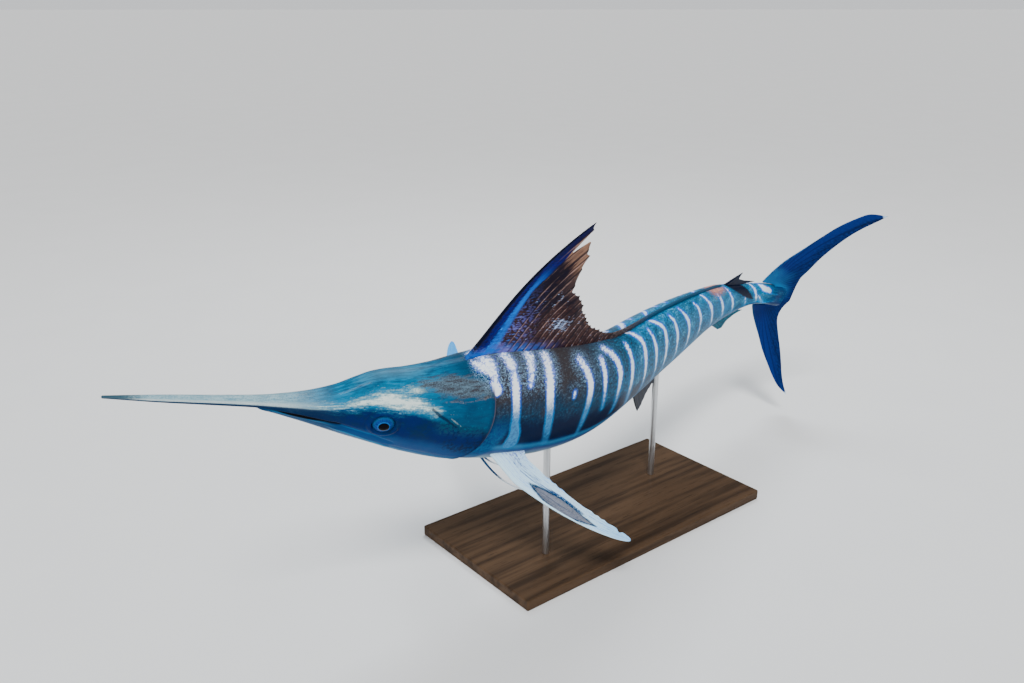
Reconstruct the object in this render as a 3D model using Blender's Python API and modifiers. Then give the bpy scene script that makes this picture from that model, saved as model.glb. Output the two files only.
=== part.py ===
"""Striped marlin, life size, turning as it swims, held on a plain display stand.

Every length is in metres. The fish is drawn along a bent spine: a station is the distance from the tip of
the bill measured along it, a height is measured up from the spine in the fish's own upright plane, and an
angle goes round the body from the left flank (0) over the back (90) to the right flank (180).
"""

import math

import bmesh
import bpy
import numpy as np
from mathutils import Vector
from mathutils.bvhtree import BVHTree

# Gap between neighbouring nodes.
GAP = 0.0003

# Bend of the spine: station, heading to the fish's right and rise, in degrees.
BEND = (
    (0.72, 0.0, 0.0),
    (1.05, 9.5, 1.0),
    (1.40, 33.0, 1.9),
    (1.75, 31.0, 1.9),
    (1.95, 30.0, 1.2),
    (2.10, 24.5, 0.3),
    (2.22, 23.0, -0.5),
    (2.34, 12.0, -1.1),
    (2.46, -20.0, -1.4),
    (2.60, -50.0, -1.2),
)
TAIL_TWIST_DEG = 6.6
TWIST_FROM = 1.2
TWIST_TO = 2.5

# Body outline: station, height of the back, depth of the belly, half width.
BODY = (
    (0.092, 0.0025, 0.0025, 0.0035),
    (0.200, 0.0065, 0.0065, 0.0095),
    (0.320, 0.0095, 0.0095, 0.0130),
    (0.390, 0.0115, 0.0175, 0.0165),
    (0.470, 0.0205, 0.0405, 0.0250),
    (0.545, 0.0430, 0.0660, 0.0350),
    (0.590, 0.0690, 0.0810, 0.0420),
    (0.620, 0.0845, 0.0900, 0.0470),
    (0.650, 0.0925, 0.0990, 0.0520),
    (0.690, 0.0985, 0.1110, 0.0580),
    (0.740, 0.1110, 0.1245, 0.0650),
    (0.800, 0.1300, 0.1370, 0.0720),
    (0.900, 0.1565, 0.1500, 0.0775),
    (1.100, 0.1640, 0.1620, 0.0810),
    (1.400, 0.1480, 0.1530, 0.0760),
    (1.700, 0.1200, 0.1220, 0.0640),
    (2.000, 0.0840, 0.0790, 0.0430),
    (2.200, 0.0530, 0.0475, 0.0310),
    (2.350, 0.0390, 0.0350, 0.0270),
    (2.440, 0.0380, 0.0350, 0.0240),
)
BILL_TIP = 0.092
JAW_TIP = 0.385
MOUTH_CORNER = 0.560
MOUTH_AT_TIP = -0.0060
MOUTH_AT_CORNER = -0.0300
LIP_GAP = 0.0010
GILL_TOP = 0.838
GILL_REACH = 0.062
GILL_POWER = 1.5
GILL_LIFT = 0.0045
TRUNK_CUTS = (1.28, 1.68, 2.06)
TAIL_END = 2.400
ROUND_STEPS = 48
STEP_JAW = 0.048
HEAD_RINGS = 18
STEP_TAIL = 0.025
STEP_TRUNK = 0.045

# Eyes: the ball is a flattened sphere whose middle lies inside the skin.
EYE_STATION = 0.655
EYE_ANGLE_DEG = -8.0
EYE_RADIUS = 0.0265
EYE_THICK = 0.0170
EYE_DEPTH = 0.0105
ORBIT_RIM = 0.0022
NOSTRIL_STATION = 0.606
NOSTRIL_ANGLE_DEG = 20.0
NOSTRIL_RADIUS = 0.0042

# Keels on each side of the tail root: station span, height and the angles they sit at.
KEEL_FROM = 2.315
KEEL_TO = 2.398
KEEL_HEIGHT = 0.0105
KEEL_ANGLE_DEG = 22.5

# Median fins, ray by ray from the front: station of the root, station of the end, height of the end.
DORSAL_TALL = (
    (0.818, 1.018, 0.342),
    (0.838, 1.021, 0.324),
    (0.853, 0.985, 0.262),
    (0.866, 1.028, 0.299),
    (0.880, 1.028, 0.268),
    (0.897, 1.039, 0.262),
    (0.915, 1.031, 0.228),
    (0.945, 1.038, 0.166),
    (1.004, 1.077, 0.136),
    (1.038, 1.095, 0.105),
    (1.123, 1.155, 0.054),
    (1.202, 1.222, 0.022),
    (1.240, 1.256, 0.016),
)
DORSAL_LOW = (
    (1.243, 1.259, 0.015),
    (1.400, 1.418, 0.013),
    (1.600, 1.620, 0.011),
    (1.800, 1.822, 0.009),
    (1.960, 1.984, 0.007),
    (2.020, 2.040, 0.003),
)
DORSAL_SECOND = (
    (2.060, 2.168, 0.044),
    (2.080, 2.162, 0.034),
    (2.105, 2.160, 0.021),
    (2.130, 2.206, 0.014),
    (2.155, 2.286, 0.009),
)
ANAL_FIRST = (
    (1.600, 1.782, 0.214),
    (1.625, 1.790, 0.196),
    (1.655, 1.790, 0.140),
    (1.700, 1.812, 0.096),
    (1.760, 1.846, 0.058),
    (1.830, 1.892, 0.028),
    (1.880, 1.920, 0.012),
)
ANAL_SECOND = (
    (2.060, 2.170, 0.066),
    (2.085, 2.196, 0.068),
    (2.110, 2.208, 0.044),
    (2.140, 2.246, 0.030),
    (2.165, 2.292, 0.022),
)
DORSAL_BOW = 0.79
FIN_HALF_ROOT = 0.0030
FIN_HALF_EDGE = 0.0009
RAY_RIDGE = 0.0008

# Tail fin: station and height along the front edge and along the rear edge of each lobe.
TAIL_FORK = 2.487
LOBE_FRONT = (
    (0.000, 0.000),
    (0.000, 0.0405),
    (-0.060, 0.0470),
    (-0.035, 0.085),
    (-0.002, 0.131),
    (0.033, 0.177),
    (0.072, 0.241),
    (0.108, 0.304),
    (0.136, 0.345),
    (0.168, 0.383),
    (0.213, 0.403),
)
LOBE_REAR = (
    (0.087, 0.000),
    (0.083, 0.0395),
    (0.081, 0.062),
    (0.081, 0.085),
    (0.094, 0.130),
    (0.106, 0.175),
    (0.126, 0.232),
    (0.146, 0.281),
    (0.164, 0.318),
    (0.188, 0.360),
    (0.213, 0.403),
)
LOWER_FRONT = (
    (0.000, 0.000),
    (0.000, 0.0360),
    (-0.056, 0.0450),
    (-0.034, 0.076),
    (-0.006, 0.107),
    (0.043, 0.157),
    (0.089, 0.206),
    (0.135, 0.246),
    (0.180, 0.281),
    (0.221, 0.304),
    (0.257, 0.314),
)
LOWER_REAR = (
    (0.087, 0.000),
    (0.076, 0.036),
    (0.075, 0.052),
    (0.077, 0.068),
    (0.084, 0.086),
    (0.112, 0.128),
    (0.142, 0.168),
    (0.172, 0.210),
    (0.200, 0.250),
    (0.229, 0.287),
    (0.257, 0.314),
)
TAIL_HALF_EDGE = 0.0010
TAIL_HALF_MID = 0.0034

# Paired fins: root station span, root angle, and the tip as station, distance out and height.
PECTORAL_ROOT = (0.938, 1.028)
PECTORAL_ANGLE_DEG = -46.0
PECTORAL_TIP_LEFT = (1.216, 0.316, -0.243)
PECTORAL_TIP_RIGHT = (1.238, 0.434, -0.169)
PECTORAL_SWEEP = 0.0207
PECTORAL_CAMBER = 0.0067
PECTORAL_CHORD = 0.0770
PECTORAL_RAYS = 11
ROOT_SUNK = 0.012
PELVIC_ROOT = 0.945
PELVIC_ANGLE_DEG = -81.0
PELVIC_RUN = 0.192
PELVIC_DROP = 0.128
PELVIC_CURVE = 1.74
PELVIC_SPREAD = 0.020
PELVIC_HALF_WIDTH = 0.0042
PELVIC_HALF_THICK = 0.0014

# Attitude on the stand: the direction of up in the fish's own frame, and the way its length runs.
WORLD_UP = (-0.223, 0.332, 0.917)
LENGTH_WAY = (2.34, 0.516, 0.023)

# Display stand.
BASE_SIZE = (0.90, 0.46, 0.030)
BASE_BEVEL = 0.004
ROD_RADIUS = 0.009
ROD_STATIONS = (1.16, 1.72)
FIN_CLEARANCE = 0.045
ROD_SEAT = 0.0006


def smooth(x):
    """The cubic step from 0 to 1."""
    x = np.clip(x, 0.0, 1.0)
    return x * x * (3.0 - 2.0 * x)


def monotone(xs, ys, x):
    """A smooth curve through the points that keeps each stretch between its ends."""
    xs = np.asarray(xs, float)
    ys = np.asarray(ys, float)
    h = np.diff(xs)
    d = np.diff(ys) / h
    m = np.zeros(len(xs))
    same = d[1:] * d[:-1] > 0
    w1 = 2 * h[1:] + h[:-1]
    w2 = h[1:] + 2 * h[:-1]
    safe = np.where(same, d[1:] * d[:-1], 1.0)
    m[1:-1] = np.where(same, (w1 + w2) * safe / (w1 * d[1:] + w2 * d[:-1] + ~same), 0.0)
    m[0] = d[0]
    m[-1] = d[-1]
    x = np.clip(np.asarray(x, float), xs[0], xs[-1])
    i = np.clip(np.searchsorted(xs, x) - 1, 0, len(h) - 1)
    t = (x - xs[i]) / h[i]
    a = (1 + 2 * t) * (1 - t) ** 2
    b = t * (1 - t) ** 2
    c = t * t * (3 - 2 * t)
    e = t * t * (t - 1)
    return a * ys[i] + b * h[i] * m[i] + c * ys[i + 1] + e * h[i] * m[i + 1]


class Spine:
    """The bent middle line of the fish, with its directions along, up and to the right."""

    def __init__(self):
        self.s = np.arange(0.0, 2.901, 0.005)
        knots, heading, rise = (np.array(column) for column in zip(*BEND))
        a = np.radians(monotone(knots, heading, self.s))
        b = np.radians(monotone(knots, rise, self.s))
        along = np.stack([np.cos(a) * np.cos(b), np.sin(a) * np.cos(b), np.sin(b)], 1)
        up = np.stack([-np.cos(a) * np.sin(b), -np.sin(a) * np.sin(b), np.cos(b)], 1)
        right = np.cross(up, along)
        share = np.clip((self.s - TWIST_FROM) / (TWIST_TO - TWIST_FROM), 0, 1)
        twist = math.radians(TAIL_TWIST_DEG) * share
        c = np.cos(twist)[:, None]
        d = np.sin(twist)[:, None]
        self.along = along
        self.up = up * c + right * d
        self.right = right * c - up * d
        step = (along[1:] + along[:-1]) / 2 * 0.005
        line = np.concatenate([[np.zeros(3)], np.cumsum(step, axis=0)])
        fixed = np.array([np.interp(knots[0], self.s, line[:, k]) for k in range(3)])
        self.line = line - fixed + np.array([knots[0], 0, 0])

    def at(self, s, table):
        """The spine's point or direction at each station."""
        return np.stack([np.interp(s, self.s, table[:, k]) for k in range(3)], -1)

    def place(self, s, y, z):
        """The point at a station, y to the right and z up."""
        s = np.asarray(s, float)
        y = np.asarray(y, float)[..., None]
        z = np.asarray(z, float)[..., None]
        return self.at(s, self.line) + self.at(s, self.right) * y + self.at(s, self.up) * z


SPINE = Spine()
ROWS = np.array(BODY)


def world_axes():
    """The fish's own directions that become world X, Y and Z."""
    z = np.array(WORLD_UP) / np.linalg.norm(WORLD_UP)
    x = np.array(LENGTH_WAY) - z * np.dot(LENGTH_WAY, z)
    x = x / np.linalg.norm(x)
    return np.stack([x, np.cross(z, x), z])


def outline(s):
    """Height of the back, depth of the belly and half width at each station."""
    return tuple(monotone(ROWS[:, 0], ROWS[:, k], s) for k in (1, 2, 3))


def gill_edge(angle):
    """Station of the rear rim of the gill covers, by angle round the body."""
    side = np.abs(np.cos(angle))
    return GILL_TOP + GILL_REACH * side ** GILL_POWER


def head_relief(s, angle):
    """How far the head's bones and folds stand out of its plain outline."""
    side = np.abs(np.cos(angle))
    edge = gill_edge(angle)
    cover = smooth((s - (edge - 0.105)) / 0.075) * smooth((side - 0.25) / 0.35)
    fold = np.exp(-(((s - (edge - 0.118)) / 0.010) ** 2)) * smooth((side - 0.35) / 0.3)
    lift = GILL_LIFT * cover - 0.0022 * fold
    low = np.where(np.cos(angle) > 0, angle, math.pi - angle)
    low = (low + math.pi) % (2 * math.pi) - math.pi
    line = math.radians(-38) - (s - 0.56) * 2.2
    cheek = np.exp(-(((low - line) / 0.16) ** 2)) * smooth((s - 0.53) / 0.03) * smooth((0.69 - s) / 0.03)
    return lift + 0.0030 * cheek


def skin(s, angle, lift=0.0):
    """Points of the outer surface at each station and angle."""
    s, angle = np.broadcast_arrays(np.asarray(s, float), np.asarray(angle, float))
    top, low, half = outline(s)
    c = np.cos(angle)
    d = np.sin(angle)
    y = -half * np.sign(c) * np.abs(c) ** 0.9
    z = np.where(d > 0, top * np.abs(d) ** 1.04, -low * np.abs(d) ** 0.98)
    size = np.hypot(y, z) + 1e-9
    return SPINE.place(s, y * (1 + lift / size), z * (1 + lift / size))


def grid_faces(rows, columns, closed, turned_rows=0):
    """Quads of a grid of points, split into triangles the same way, or the other way in the first rows."""
    faces = []
    for i in range(rows - 1):
        for j in range(columns if closed else columns - 1):
            a = i * columns + j
            b = i * columns + (j + 1) % columns
            if i < turned_rows:
                faces.append((a, b, a + columns))
                faces.append((b, b + columns, a + columns))
            else:
                faces.append((a, b, b + columns))
                faces.append((a, b + columns, a + columns))
    return faces


def new_object(name, points, faces, material, smooth_shade=True):
    """A mesh object turned to its attitude on the stand."""
    mesh = bpy.data.meshes.new(name)
    turned = np.asarray(points, float) @ world_axes().T
    mesh.from_pydata([tuple(p) for p in turned], [], [tuple(f) for f in faces])
    mesh.update()
    mesh.polygons.foreach_set("use_smooth", [smooth_shade] * len(mesh.polygons))
    obj = bpy.data.objects.new(name, mesh)
    obj.data.materials.append(material)
    MODEL.objects.link(obj)
    return obj


def material(name, colour, rough, metal=0.0):
    """A Principled material."""
    made = bpy.data.materials.new(name)
    made.use_nodes = True
    shader = made.node_tree.nodes["Principled BSDF"]
    shader.inputs["Base Color"].default_value = (*colour, 1.0)
    shader.inputs["Roughness"].default_value = rough
    shader.inputs["Metallic"].default_value = metal
    made.diffuse_color = (*colour, 1.0)
    return made


def loft(name, rings, front, rear, paint):
    """A closed solid through rings of points, each end closed by a fan of inner rings."""
    front = list(front)
    rear = list(rear)
    rows = front[::-1] + list(rings) + rear
    first = rows[0].mean(0) if len(rows[0]) > 1 else rows[0][0]
    last = rows[-1].mean(0) if len(rows[-1]) > 1 else rows[-1][0]
    if len(rows[0]) == 1:
        rows = rows[1:]
    if len(rows[-1]) == 1:
        rows = rows[:-1]
    count = len(rows[0])
    points = list(np.concatenate(rows))
    faces = grid_faces(len(rows), count, True, len(front) - 1)
    start = len(points)
    points.append(first)
    points.append(last)
    end = (len(rows) - 1) * count
    for j in range(count):
        faces.append((start, (j + 1) % count, j))
        faces.append((start + 1, end + j, end + (j + 1) % count))
    return turn_outward(new_object(name, points, faces, paint))


ANGLES = np.arange(ROUND_STEPS) * 2 * math.pi / ROUND_STEPS


def cap(stations, angles, shares=(0.998, 0.66, 0.33)):
    """Inner rings and the middle point that close a body length, all on the same curved cut."""
    stations = np.broadcast_to(stations, angles.shape)
    middle = float(stations.min() + stations.max()) / 2
    outer = skin(stations, angles)
    centre = SPINE.place(middle, 0.0, 0.0)
    rings = []
    for share in shares:
        s = middle + (stations - middle) * share ** 2
        hub = SPINE.place(s, np.zeros_like(s), np.zeros_like(s))
        own = SPINE.place(stations, np.zeros_like(stations), np.zeros_like(stations))
        rings.append(hub + (outer - own) * share)
    return rings + [centre[None, :]]


def stations_between(start, end, step):
    """Whole steps of the body's stations, with both ends."""
    inner = np.arange(math.ceil(start / step + 1e-6), math.floor(end / step - 1e-6) + 1) * step
    inner = inner[(inner > start + step * 0.3) & (inner < end - step * 0.3)]
    return np.concatenate([[start], inner, [end]])


def keel_lift(s, angles):
    """The two low keels on each side of the tail root."""
    length = np.clip((s - KEEL_FROM) / (KEEL_TO - KEEL_FROM), 0, 1)
    swell = np.sin(math.pi * length ** 0.8) ** 0.8 if 0 < length < 1 else 0.0
    lift = np.zeros(len(angles))
    for turn in (KEEL_ANGLE_DEG, -KEEL_ANGLE_DEG, 180 - KEEL_ANGLE_DEG, 180 + KEEL_ANGLE_DEG):
        off = (angles - math.radians(turn) + math.pi) % (2 * math.pi) - math.pi
        lift += KEEL_HEIGHT * swell * (np.abs(off) < 0.02)
    return lift


def jaw(name, top_of, low_of, start, end, paint):
    """One jaw as a loft whose meeting side is squared off along the mouth."""
    stations = np.concatenate([[JAW_TIP], stations_between(JAW_TIP + 0.004, end - GAP, STEP_JAW)])
    if start < JAW_TIP:
        ahead = stations_between(start + 0.004, JAW_TIP, STEP_JAW)[:-1]
        stations = np.concatenate([[start], ahead, stations])
    rings = []
    for s in stations:
        top = float(top_of(s))
        low = float(low_of(s))
        half = float(outline(s)[2]) * (1.0 if name == "bill" else 0.96)
        if name != "bill":
            half = half * float(smooth((s - start) / 0.030) * 0.55 + 0.45)
        c = np.cos(ANGLES)
        d = np.sin(ANGLES)
        middle = (top + low) / 2
        if name == "bill":
            flat = 1.0 - 0.5 * float(smooth((s - 0.34) / 0.08))
            middle = low * (0.0 if s < 0.3 else float(smooth((s - 0.3) / 0.12)) * 0.8)
            z = np.where(d > 0, middle + (top - middle) * np.abs(d) ** 1.04, middle + (low - middle) * np.abs(d) ** flat)
        else:
            middle = top - (top - low) * 0.25
            z = np.where(d > 0, middle + (top - middle) * np.abs(d) ** 0.5, middle + (low - middle) * np.abs(d))
        rings.append(SPINE.place(s, -half * np.sign(c) * np.abs(c) ** 0.9, z))
    centre = rings[-1].mean(0)
    inner = [centre + (rings[-1] - centre) * share for share in (0.5,)] + [centre[None, :]]
    tip = [rings[0].mean(0)[None, :]]
    return loft(name, rings, tip, inner, paint)


def mouth_height(s):
    """Height of the line where the jaws meet."""
    share = (s - JAW_TIP) / (MOUTH_CORNER - JAW_TIP)
    return MOUTH_AT_TIP + (MOUTH_AT_CORNER - MOUTH_AT_TIP) * share ** 1.2 if share > 0 else MOUTH_AT_TIP


def bill_low(s):
    """Height of the underside of the bill and the upper jaw."""
    plain = -float(np.interp(s, (0.092, 0.2, 0.32), (0.0025, 0.0065, 0.0095)))
    share = float(smooth((s - 0.32) / 0.065))
    return plain + (mouth_height(s) + LIP_GAP / 2 - plain) * share


def build_head(paint):
    """The skull from the mouth corner to the rims of the gill covers."""
    start = MOUTH_CORNER
    rings = []
    count = HEAD_RINGS
    edge = gill_edge(ANGLES)
    for i in range(count + 1):
        share = i / count
        s = start + (edge - start) * share
        rings.append(skin(s, ANGLES, head_relief(s, ANGLES)))
    flat = np.full(len(ANGLES), start)
    return loft("head", rings, cap(flat, ANGLES), cap(edge, ANGLES), paint)


def build_length(name, start, end, paint, keels=False, lift=0.0):
    """One length of the trunk between two cuts, the first of which may be curved."""
    start = np.broadcast_to(np.asarray(start, float), ANGLES.shape)
    step = STEP_TAIL if keels else STEP_TRUNK
    line = stations_between(float(start.max()) + 0.004, end, step)[1:]
    rings = [skin(start, ANGLES, lift)]
    for s in line:
        rings.append(skin(s, ANGLES, lift + (keel_lift(s, ANGLES) if keels else 0.0)))
    return loft(name, rings, cap(start, ANGLES), cap(np.full(len(ANGLES), end), ANGLES), paint)


def body_stations():
    """All stations along the back where the lofted lengths have a ring."""
    found = [MOUTH_CORNER + (GILL_TOP - MOUTH_CORNER) * i / HEAD_RINGS for i in range(HEAD_RINGS + 1)]
    starts = [GILL_TOP, *TRUNK_CUTS]
    ends = [*TRUNK_CUTS, TAIL_END]
    for start, end in zip(starts, ends):
        first = GILL_TOP + GILL_REACH if start == GILL_TOP else start
        step = STEP_TAIL if end == TAIL_END else STEP_TRUNK
        found += [start] + list(stations_between(first + 0.004, end, step)[1:])
    return np.array(sorted(set(np.round(found, 6))))


RIDGE_STATIONS = body_stations()


def ridge(s, below):
    """Point on the body's faceted ridge (back or belly), and the direction out of it."""
    angle = -math.pi / 2 if below else math.pi / 2
    table = skin(RIDGE_STATIONS, np.full(len(RIDGE_STATIONS), angle))
    point = np.stack([np.interp(s, RIDGE_STATIONS, table[:, k]) for k in range(3)], -1)
    out = SPINE.at(s, SPINE.up) * (-1 if below else 1)
    return point, out


def sheet(name, middle, normal, half, paint):
    """A thin closed solid on a grid of middle points, split alike on both faces."""
    rows, columns = middle.shape[:2]
    front = (middle + normal * half[..., None]).reshape(-1, 3)
    back = (middle - normal * half[..., None]).reshape(-1, 3)
    count = rows * columns
    faces = []
    for a, b, c in grid_faces(rows, columns, False):
        faces.append((a, b, c))
        faces.append((a + count, c + count, b + count))
    border = [j for j in range(columns)]
    border += [i * columns + columns - 1 for i in range(1, rows)]
    border += [(rows - 1) * columns + j for j in range(columns - 2, -1, -1)]
    border += [i * columns for i in range(rows - 2, 0, -1)]
    for a, b in zip(border, border[1:] + border[:1]):
        faces.append((b, a, a + count))
        faces.append((b, a + count, b + count))
    obj = new_object(name, np.concatenate([front, back]), faces, paint)
    return turn_outward(obj)


def turn_outward(obj):
    """Turns the faces round when the solid is inside out."""
    mesh = obj.data
    mesh.calc_loop_triangles()
    volume = 0.0
    for tri in mesh.loop_triangles:
        a, b, c = (mesh.vertices[i].co for i in tri.vertices)
        volume += a.dot(b.cross(c))
    if volume < 0:
        mesh.flip_normals()
    return obj


def median_fin(name, rays, per_ray, along_steps, below, paint, bow=0.12, first_thick=1.6):
    """A fin on the middle plane: rays run from root to edge, each a low ridge in the membrane."""
    table = np.array(rays)
    spots = np.linspace(0, len(table) - 1, (len(table) - 1) * per_ray * 2 + 1)
    root, end, height = (np.interp(spots, np.arange(len(table)), table[:, k]) for k in range(3))
    middle = []
    half = []
    for j, (s0, s1, h) in enumerate(zip(root, end, height)):
        column = []
        thick = []
        for i in range(along_steps + 1):
            share = i / along_steps
            s = s0 + (s1 - s0) * (share - bow * share ** 1.6 * (1 - share))
            point, out = ridge(s, below)
            column.append(point + out * (GAP + h * share))
            ray = RAY_RIDGE * (j % 2 == 0) * (1 - 0.7 * share)
            body = FIN_HALF_ROOT + (FIN_HALF_EDGE - FIN_HALF_ROOT) * share
            thick.append(body * (first_thick if j < 2 else 1.0) + ray)
        middle.append(column)
        half.append(thick)
    middle = np.array(middle)
    s_grid = root[:, None] + (end - root)[:, None] * np.linspace(0, 1, along_steps + 1)[None, :]
    normal = SPINE.at(s_grid, SPINE.right)
    return sheet(name, middle, normal, np.array(half), paint)


def tail_lobe(name, side, front, rear, paint):
    """One lobe of the tail fin, thick where it takes the end of the tail root."""
    rows = 2 * len(front) - 1
    columns = 11
    u = np.linspace(0, 1, rows)
    knots = np.linspace(0, 1, len(front))
    front = np.array(front)
    rear = np.array(rear)
    middle = np.zeros((rows, columns, 3))
    half = np.zeros((rows, columns))
    for i in range(rows):
        a = np.array([np.interp(u[i], knots, front[:, k]) for k in (0, 1)])
        b = np.array([np.interp(u[i], knots, rear[:, k]) for k in (0, 1)])
        for j in range(columns):
            share = j / (columns - 1)
            ds, h = a + (b - a) * share
            s = TAIL_END + GAP + ds
            z = side * (GAP / 2 + h)
            middle[i, j] = SPINE.place(s, 0.0, z)
            level = min(1.0, abs(h) / 0.040)
            root = 0.0235 * math.sqrt(max(0.0, 1 - level ** 2)) * math.exp(-((ds / 0.030) ** 2))
            blade = TAIL_HALF_EDGE + (TAIL_HALF_MID - TAIL_HALF_EDGE) * (1 - share) * (1 - u[i] * 0.7)
            ray = RAY_RIDGE * 0.7 * (i % 2 == 0) * (ds > 0.03) * (share < 0.99)
            half[i, j] = max(root, blade) + ray
    s_grid = TAIL_END + GAP + np.zeros((rows, columns))
    for i in range(rows):
        for j in range(columns):
            a = np.interp(u[i], knots, front[:, 0])
            b = np.interp(u[i], knots, rear[:, 0])
            s_grid[i, j] += a + (b - a) * j / (columns - 1)
    return sheet(name, middle, SPINE.at(s_grid, SPINE.right), half, paint)


def pectoral(name, side, tip, paint):
    """A stiff curved blade: rows run from the root out to the tip, columns from front edge to rear edge."""
    rows = 14
    columns = PECTORAL_RAYS * 2 - 1
    angle = math.radians(PECTORAL_ANGLE_DEG)
    if side > 0:
        angle = math.pi - angle
    s0, s1 = PECTORAL_ROOT
    root_s = np.linspace(s0, s1, columns)
    root_a = angle + (0.10 * (np.linspace(0, 1, columns) - 0.4)) * (1 if side < 0 else -1)
    root = skin(root_s, root_a)
    hub = skin(np.array([(s0 + s1) / 2]), np.array([angle]))[0]
    inner = SPINE.place((s0 + s1) / 2, 0.0, -0.02)
    out_way = (hub - inner) / np.linalg.norm(hub - inner)
    right = SPINE.at(tip[0], SPINE.right)
    end = SPINE.place(tip[0], 0.0, tip[2]) + right * side * tip[1]
    span = end - hub
    length = np.linalg.norm(span)
    span = span / length
    chord = root[-1] - root[0]
    chord = chord - span * np.dot(chord, span)
    chord = chord / np.linalg.norm(chord)
    face = np.cross(span, chord)
    face = face * (1 if face[2] > 0 else -1)
    middle = np.zeros((rows, columns, 3))
    half = np.zeros((rows, columns))
    for i in range(rows):
        u = i / (rows - 1)
        width = PECTORAL_CHORD * (1 - u) ** 0.44 * (1 - 0.14 * u) * (0.96 if u == 0 else 1.0)
        sweep = -PECTORAL_SWEEP * 4 * u * (1 - u)
        for j in range(columns):
            v = j / (columns - 1)
            blade = hub + span * length * u + chord * ((v - 0.5) * max(width, 0.004) + sweep)
            blade = blade + face * (PECTORAL_CAMBER * 4 * u * (1 - u))
            blend = float(smooth(u / 0.16))
            start = root[j] - out_way * ROOT_SUNK + span * length * u
            middle[i, j] = start + (blade - start) * blend
            round_off = math.sqrt(max(0.0, 1 - (2 * v - 0.8) ** 2 * 0.62)) if v < 0.4 else 1 - 0.75 * (v - 0.4) / 0.6
            body = (0.0062 * (1 - u) ** 1.2 + 0.0012) * round_off
            ray = RAY_RIDGE * (j % 2 == 0) * (1 - 0.6 * u)
            half[i, j] = max(0.0008, body) + ray
    normal = np.broadcast_to(face, middle.shape)
    return sheet(name, middle, normal, half, paint)


def pelvic(name, side, paint):
    """A narrow trailing blade under the throat."""
    angle = math.radians(PELVIC_ANGLE_DEG)
    if side > 0:
        angle = math.pi - angle
    hub = skin(np.array([PELVIC_ROOT]), np.array([angle]))[0]
    inner = SPINE.place(PELVIC_ROOT, 0.0, 0.0)
    down = (hub - inner) / np.linalg.norm(hub - inner)
    along = SPINE.at(PELVIC_ROOT, SPINE.along)
    out = SPINE.at(PELVIC_ROOT, SPINE.right) * side
    rows = 15
    columns = 5
    middle = np.zeros((rows, columns, 3))
    half = np.zeros((rows, columns))
    for i in range(rows):
        u = i / (rows - 1)
        fall = PELVIC_DROP * (1 - (1 - u) ** PELVIC_CURVE)
        centre = hub + down * (fall - ROOT_SUNK) + along * (PELVIC_RUN * u) + out * (PELVIC_SPREAD * u)
        for j in range(columns):
            v = j / (columns - 1) - 0.5
            wide = PELVIC_HALF_WIDTH * 2 * (1 - 0.72 * u) * (1.3 if u < 0.1 else 1.0)
            middle[i, j] = centre + along * v * wide * (1 - 0.6 * u) - down * v * wide * 0.8 * u
            half[i, j] = PELVIC_HALF_THICK * (1 - 0.45 * u) * (1.0 if abs(v) < 0.3 else 0.6)
    normal = np.broadcast_to(out, middle.shape)
    return sheet(name, middle, normal, half, paint)


def surface_frame(s, angle):
    """Point, outward normal, direction along and direction round at a place on the skin."""
    point = skin(np.array([s]), np.array([angle]))[0]
    along = skin(np.array([s + 0.004]), np.array([angle]))[0] - skin(np.array([s - 0.004]), np.array([angle]))[0]
    around = skin(np.array([s]), np.array([angle + 0.03]))[0] - skin(np.array([s]), np.array([angle - 0.03]))[0]
    along = along / np.linalg.norm(along)
    out = np.cross(around, along)
    out = out / np.linalg.norm(out)
    centre = SPINE.place(s, 0.0, 0.0)
    if np.dot(out, point - centre) < 0:
        out = -out
    return point, out, along, np.cross(out, along)


def ball(name, centre, axes, sizes, segments, rings, paint):
    """A sphere stretched along three directions."""
    rows = [centre + axes[0] * sizes[0]]
    points = [rows[0]]
    for i in range(1, rings):
        polar = math.pi * i / rings
        for j in range(segments):
            turn = 2 * math.pi * j / segments
            points.append(
                centre
                + axes[0] * sizes[0] * math.cos(polar)
                + axes[1] * sizes[1] * math.sin(polar) * math.cos(turn)
                + axes[2] * sizes[2] * math.sin(polar) * math.sin(turn)
            )
    points.append(centre - axes[0] * sizes[0])
    last = len(points) - 1
    faces = []
    for j in range(segments):
        k = (j + 1) % segments
        faces.append((0, 1 + j, 1 + k))
        base = 1 + (rings - 2) * segments
        faces.append((last, base + k, base + j))
        for i in range(rings - 2):
            a = 1 + i * segments
            faces.append((a + j, a + segments + j, a + segments + k))
            faces.append((a + j, a + segments + k, a + k))
    return turn_outward(new_object(name, points, faces, paint))


def cut(target, cutters):
    """Takes the cutters out of the target and keeps its largest closed surface."""
    for cutter in cutters:
        step = target.modifiers.new("cut", "BOOLEAN")
        step.operation = "DIFFERENCE"
        step.solver = "EXACT"
        step.object = cutter
        apply(target)
        bpy.data.objects.remove(cutter)
    keep_largest(target)
    return target


def keep_largest(obj):
    """Drops every loose scrap of the mesh but the one with the most faces."""
    shape = bmesh.new()
    shape.from_mesh(obj.data)
    left = set(shape.verts)
    pieces = []
    while left:
        piece = set()
        front = [left.pop()]
        while front:
            vertex = front.pop()
            piece.add(vertex)
            for edge in vertex.link_edges:
                other = edge.other_vert(vertex)
                if other in left:
                    left.discard(other)
                    front.append(other)
        pieces.append(piece)
    pieces.sort(key=len)
    for piece in pieces[:-1]:
        bmesh.ops.delete(shape, geom=list(piece), context="VERTS")
    shape.to_mesh(obj.data)
    shape.free()


def apply(obj):
    """Replaces the object's mesh with its evaluated one."""
    bpy.context.view_layer.update()
    graph = bpy.context.evaluated_depsgraph_get()
    made = bpy.data.meshes.new_from_object(obj.evaluated_get(graph))
    obj.modifiers.clear()
    obj.data = made


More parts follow.
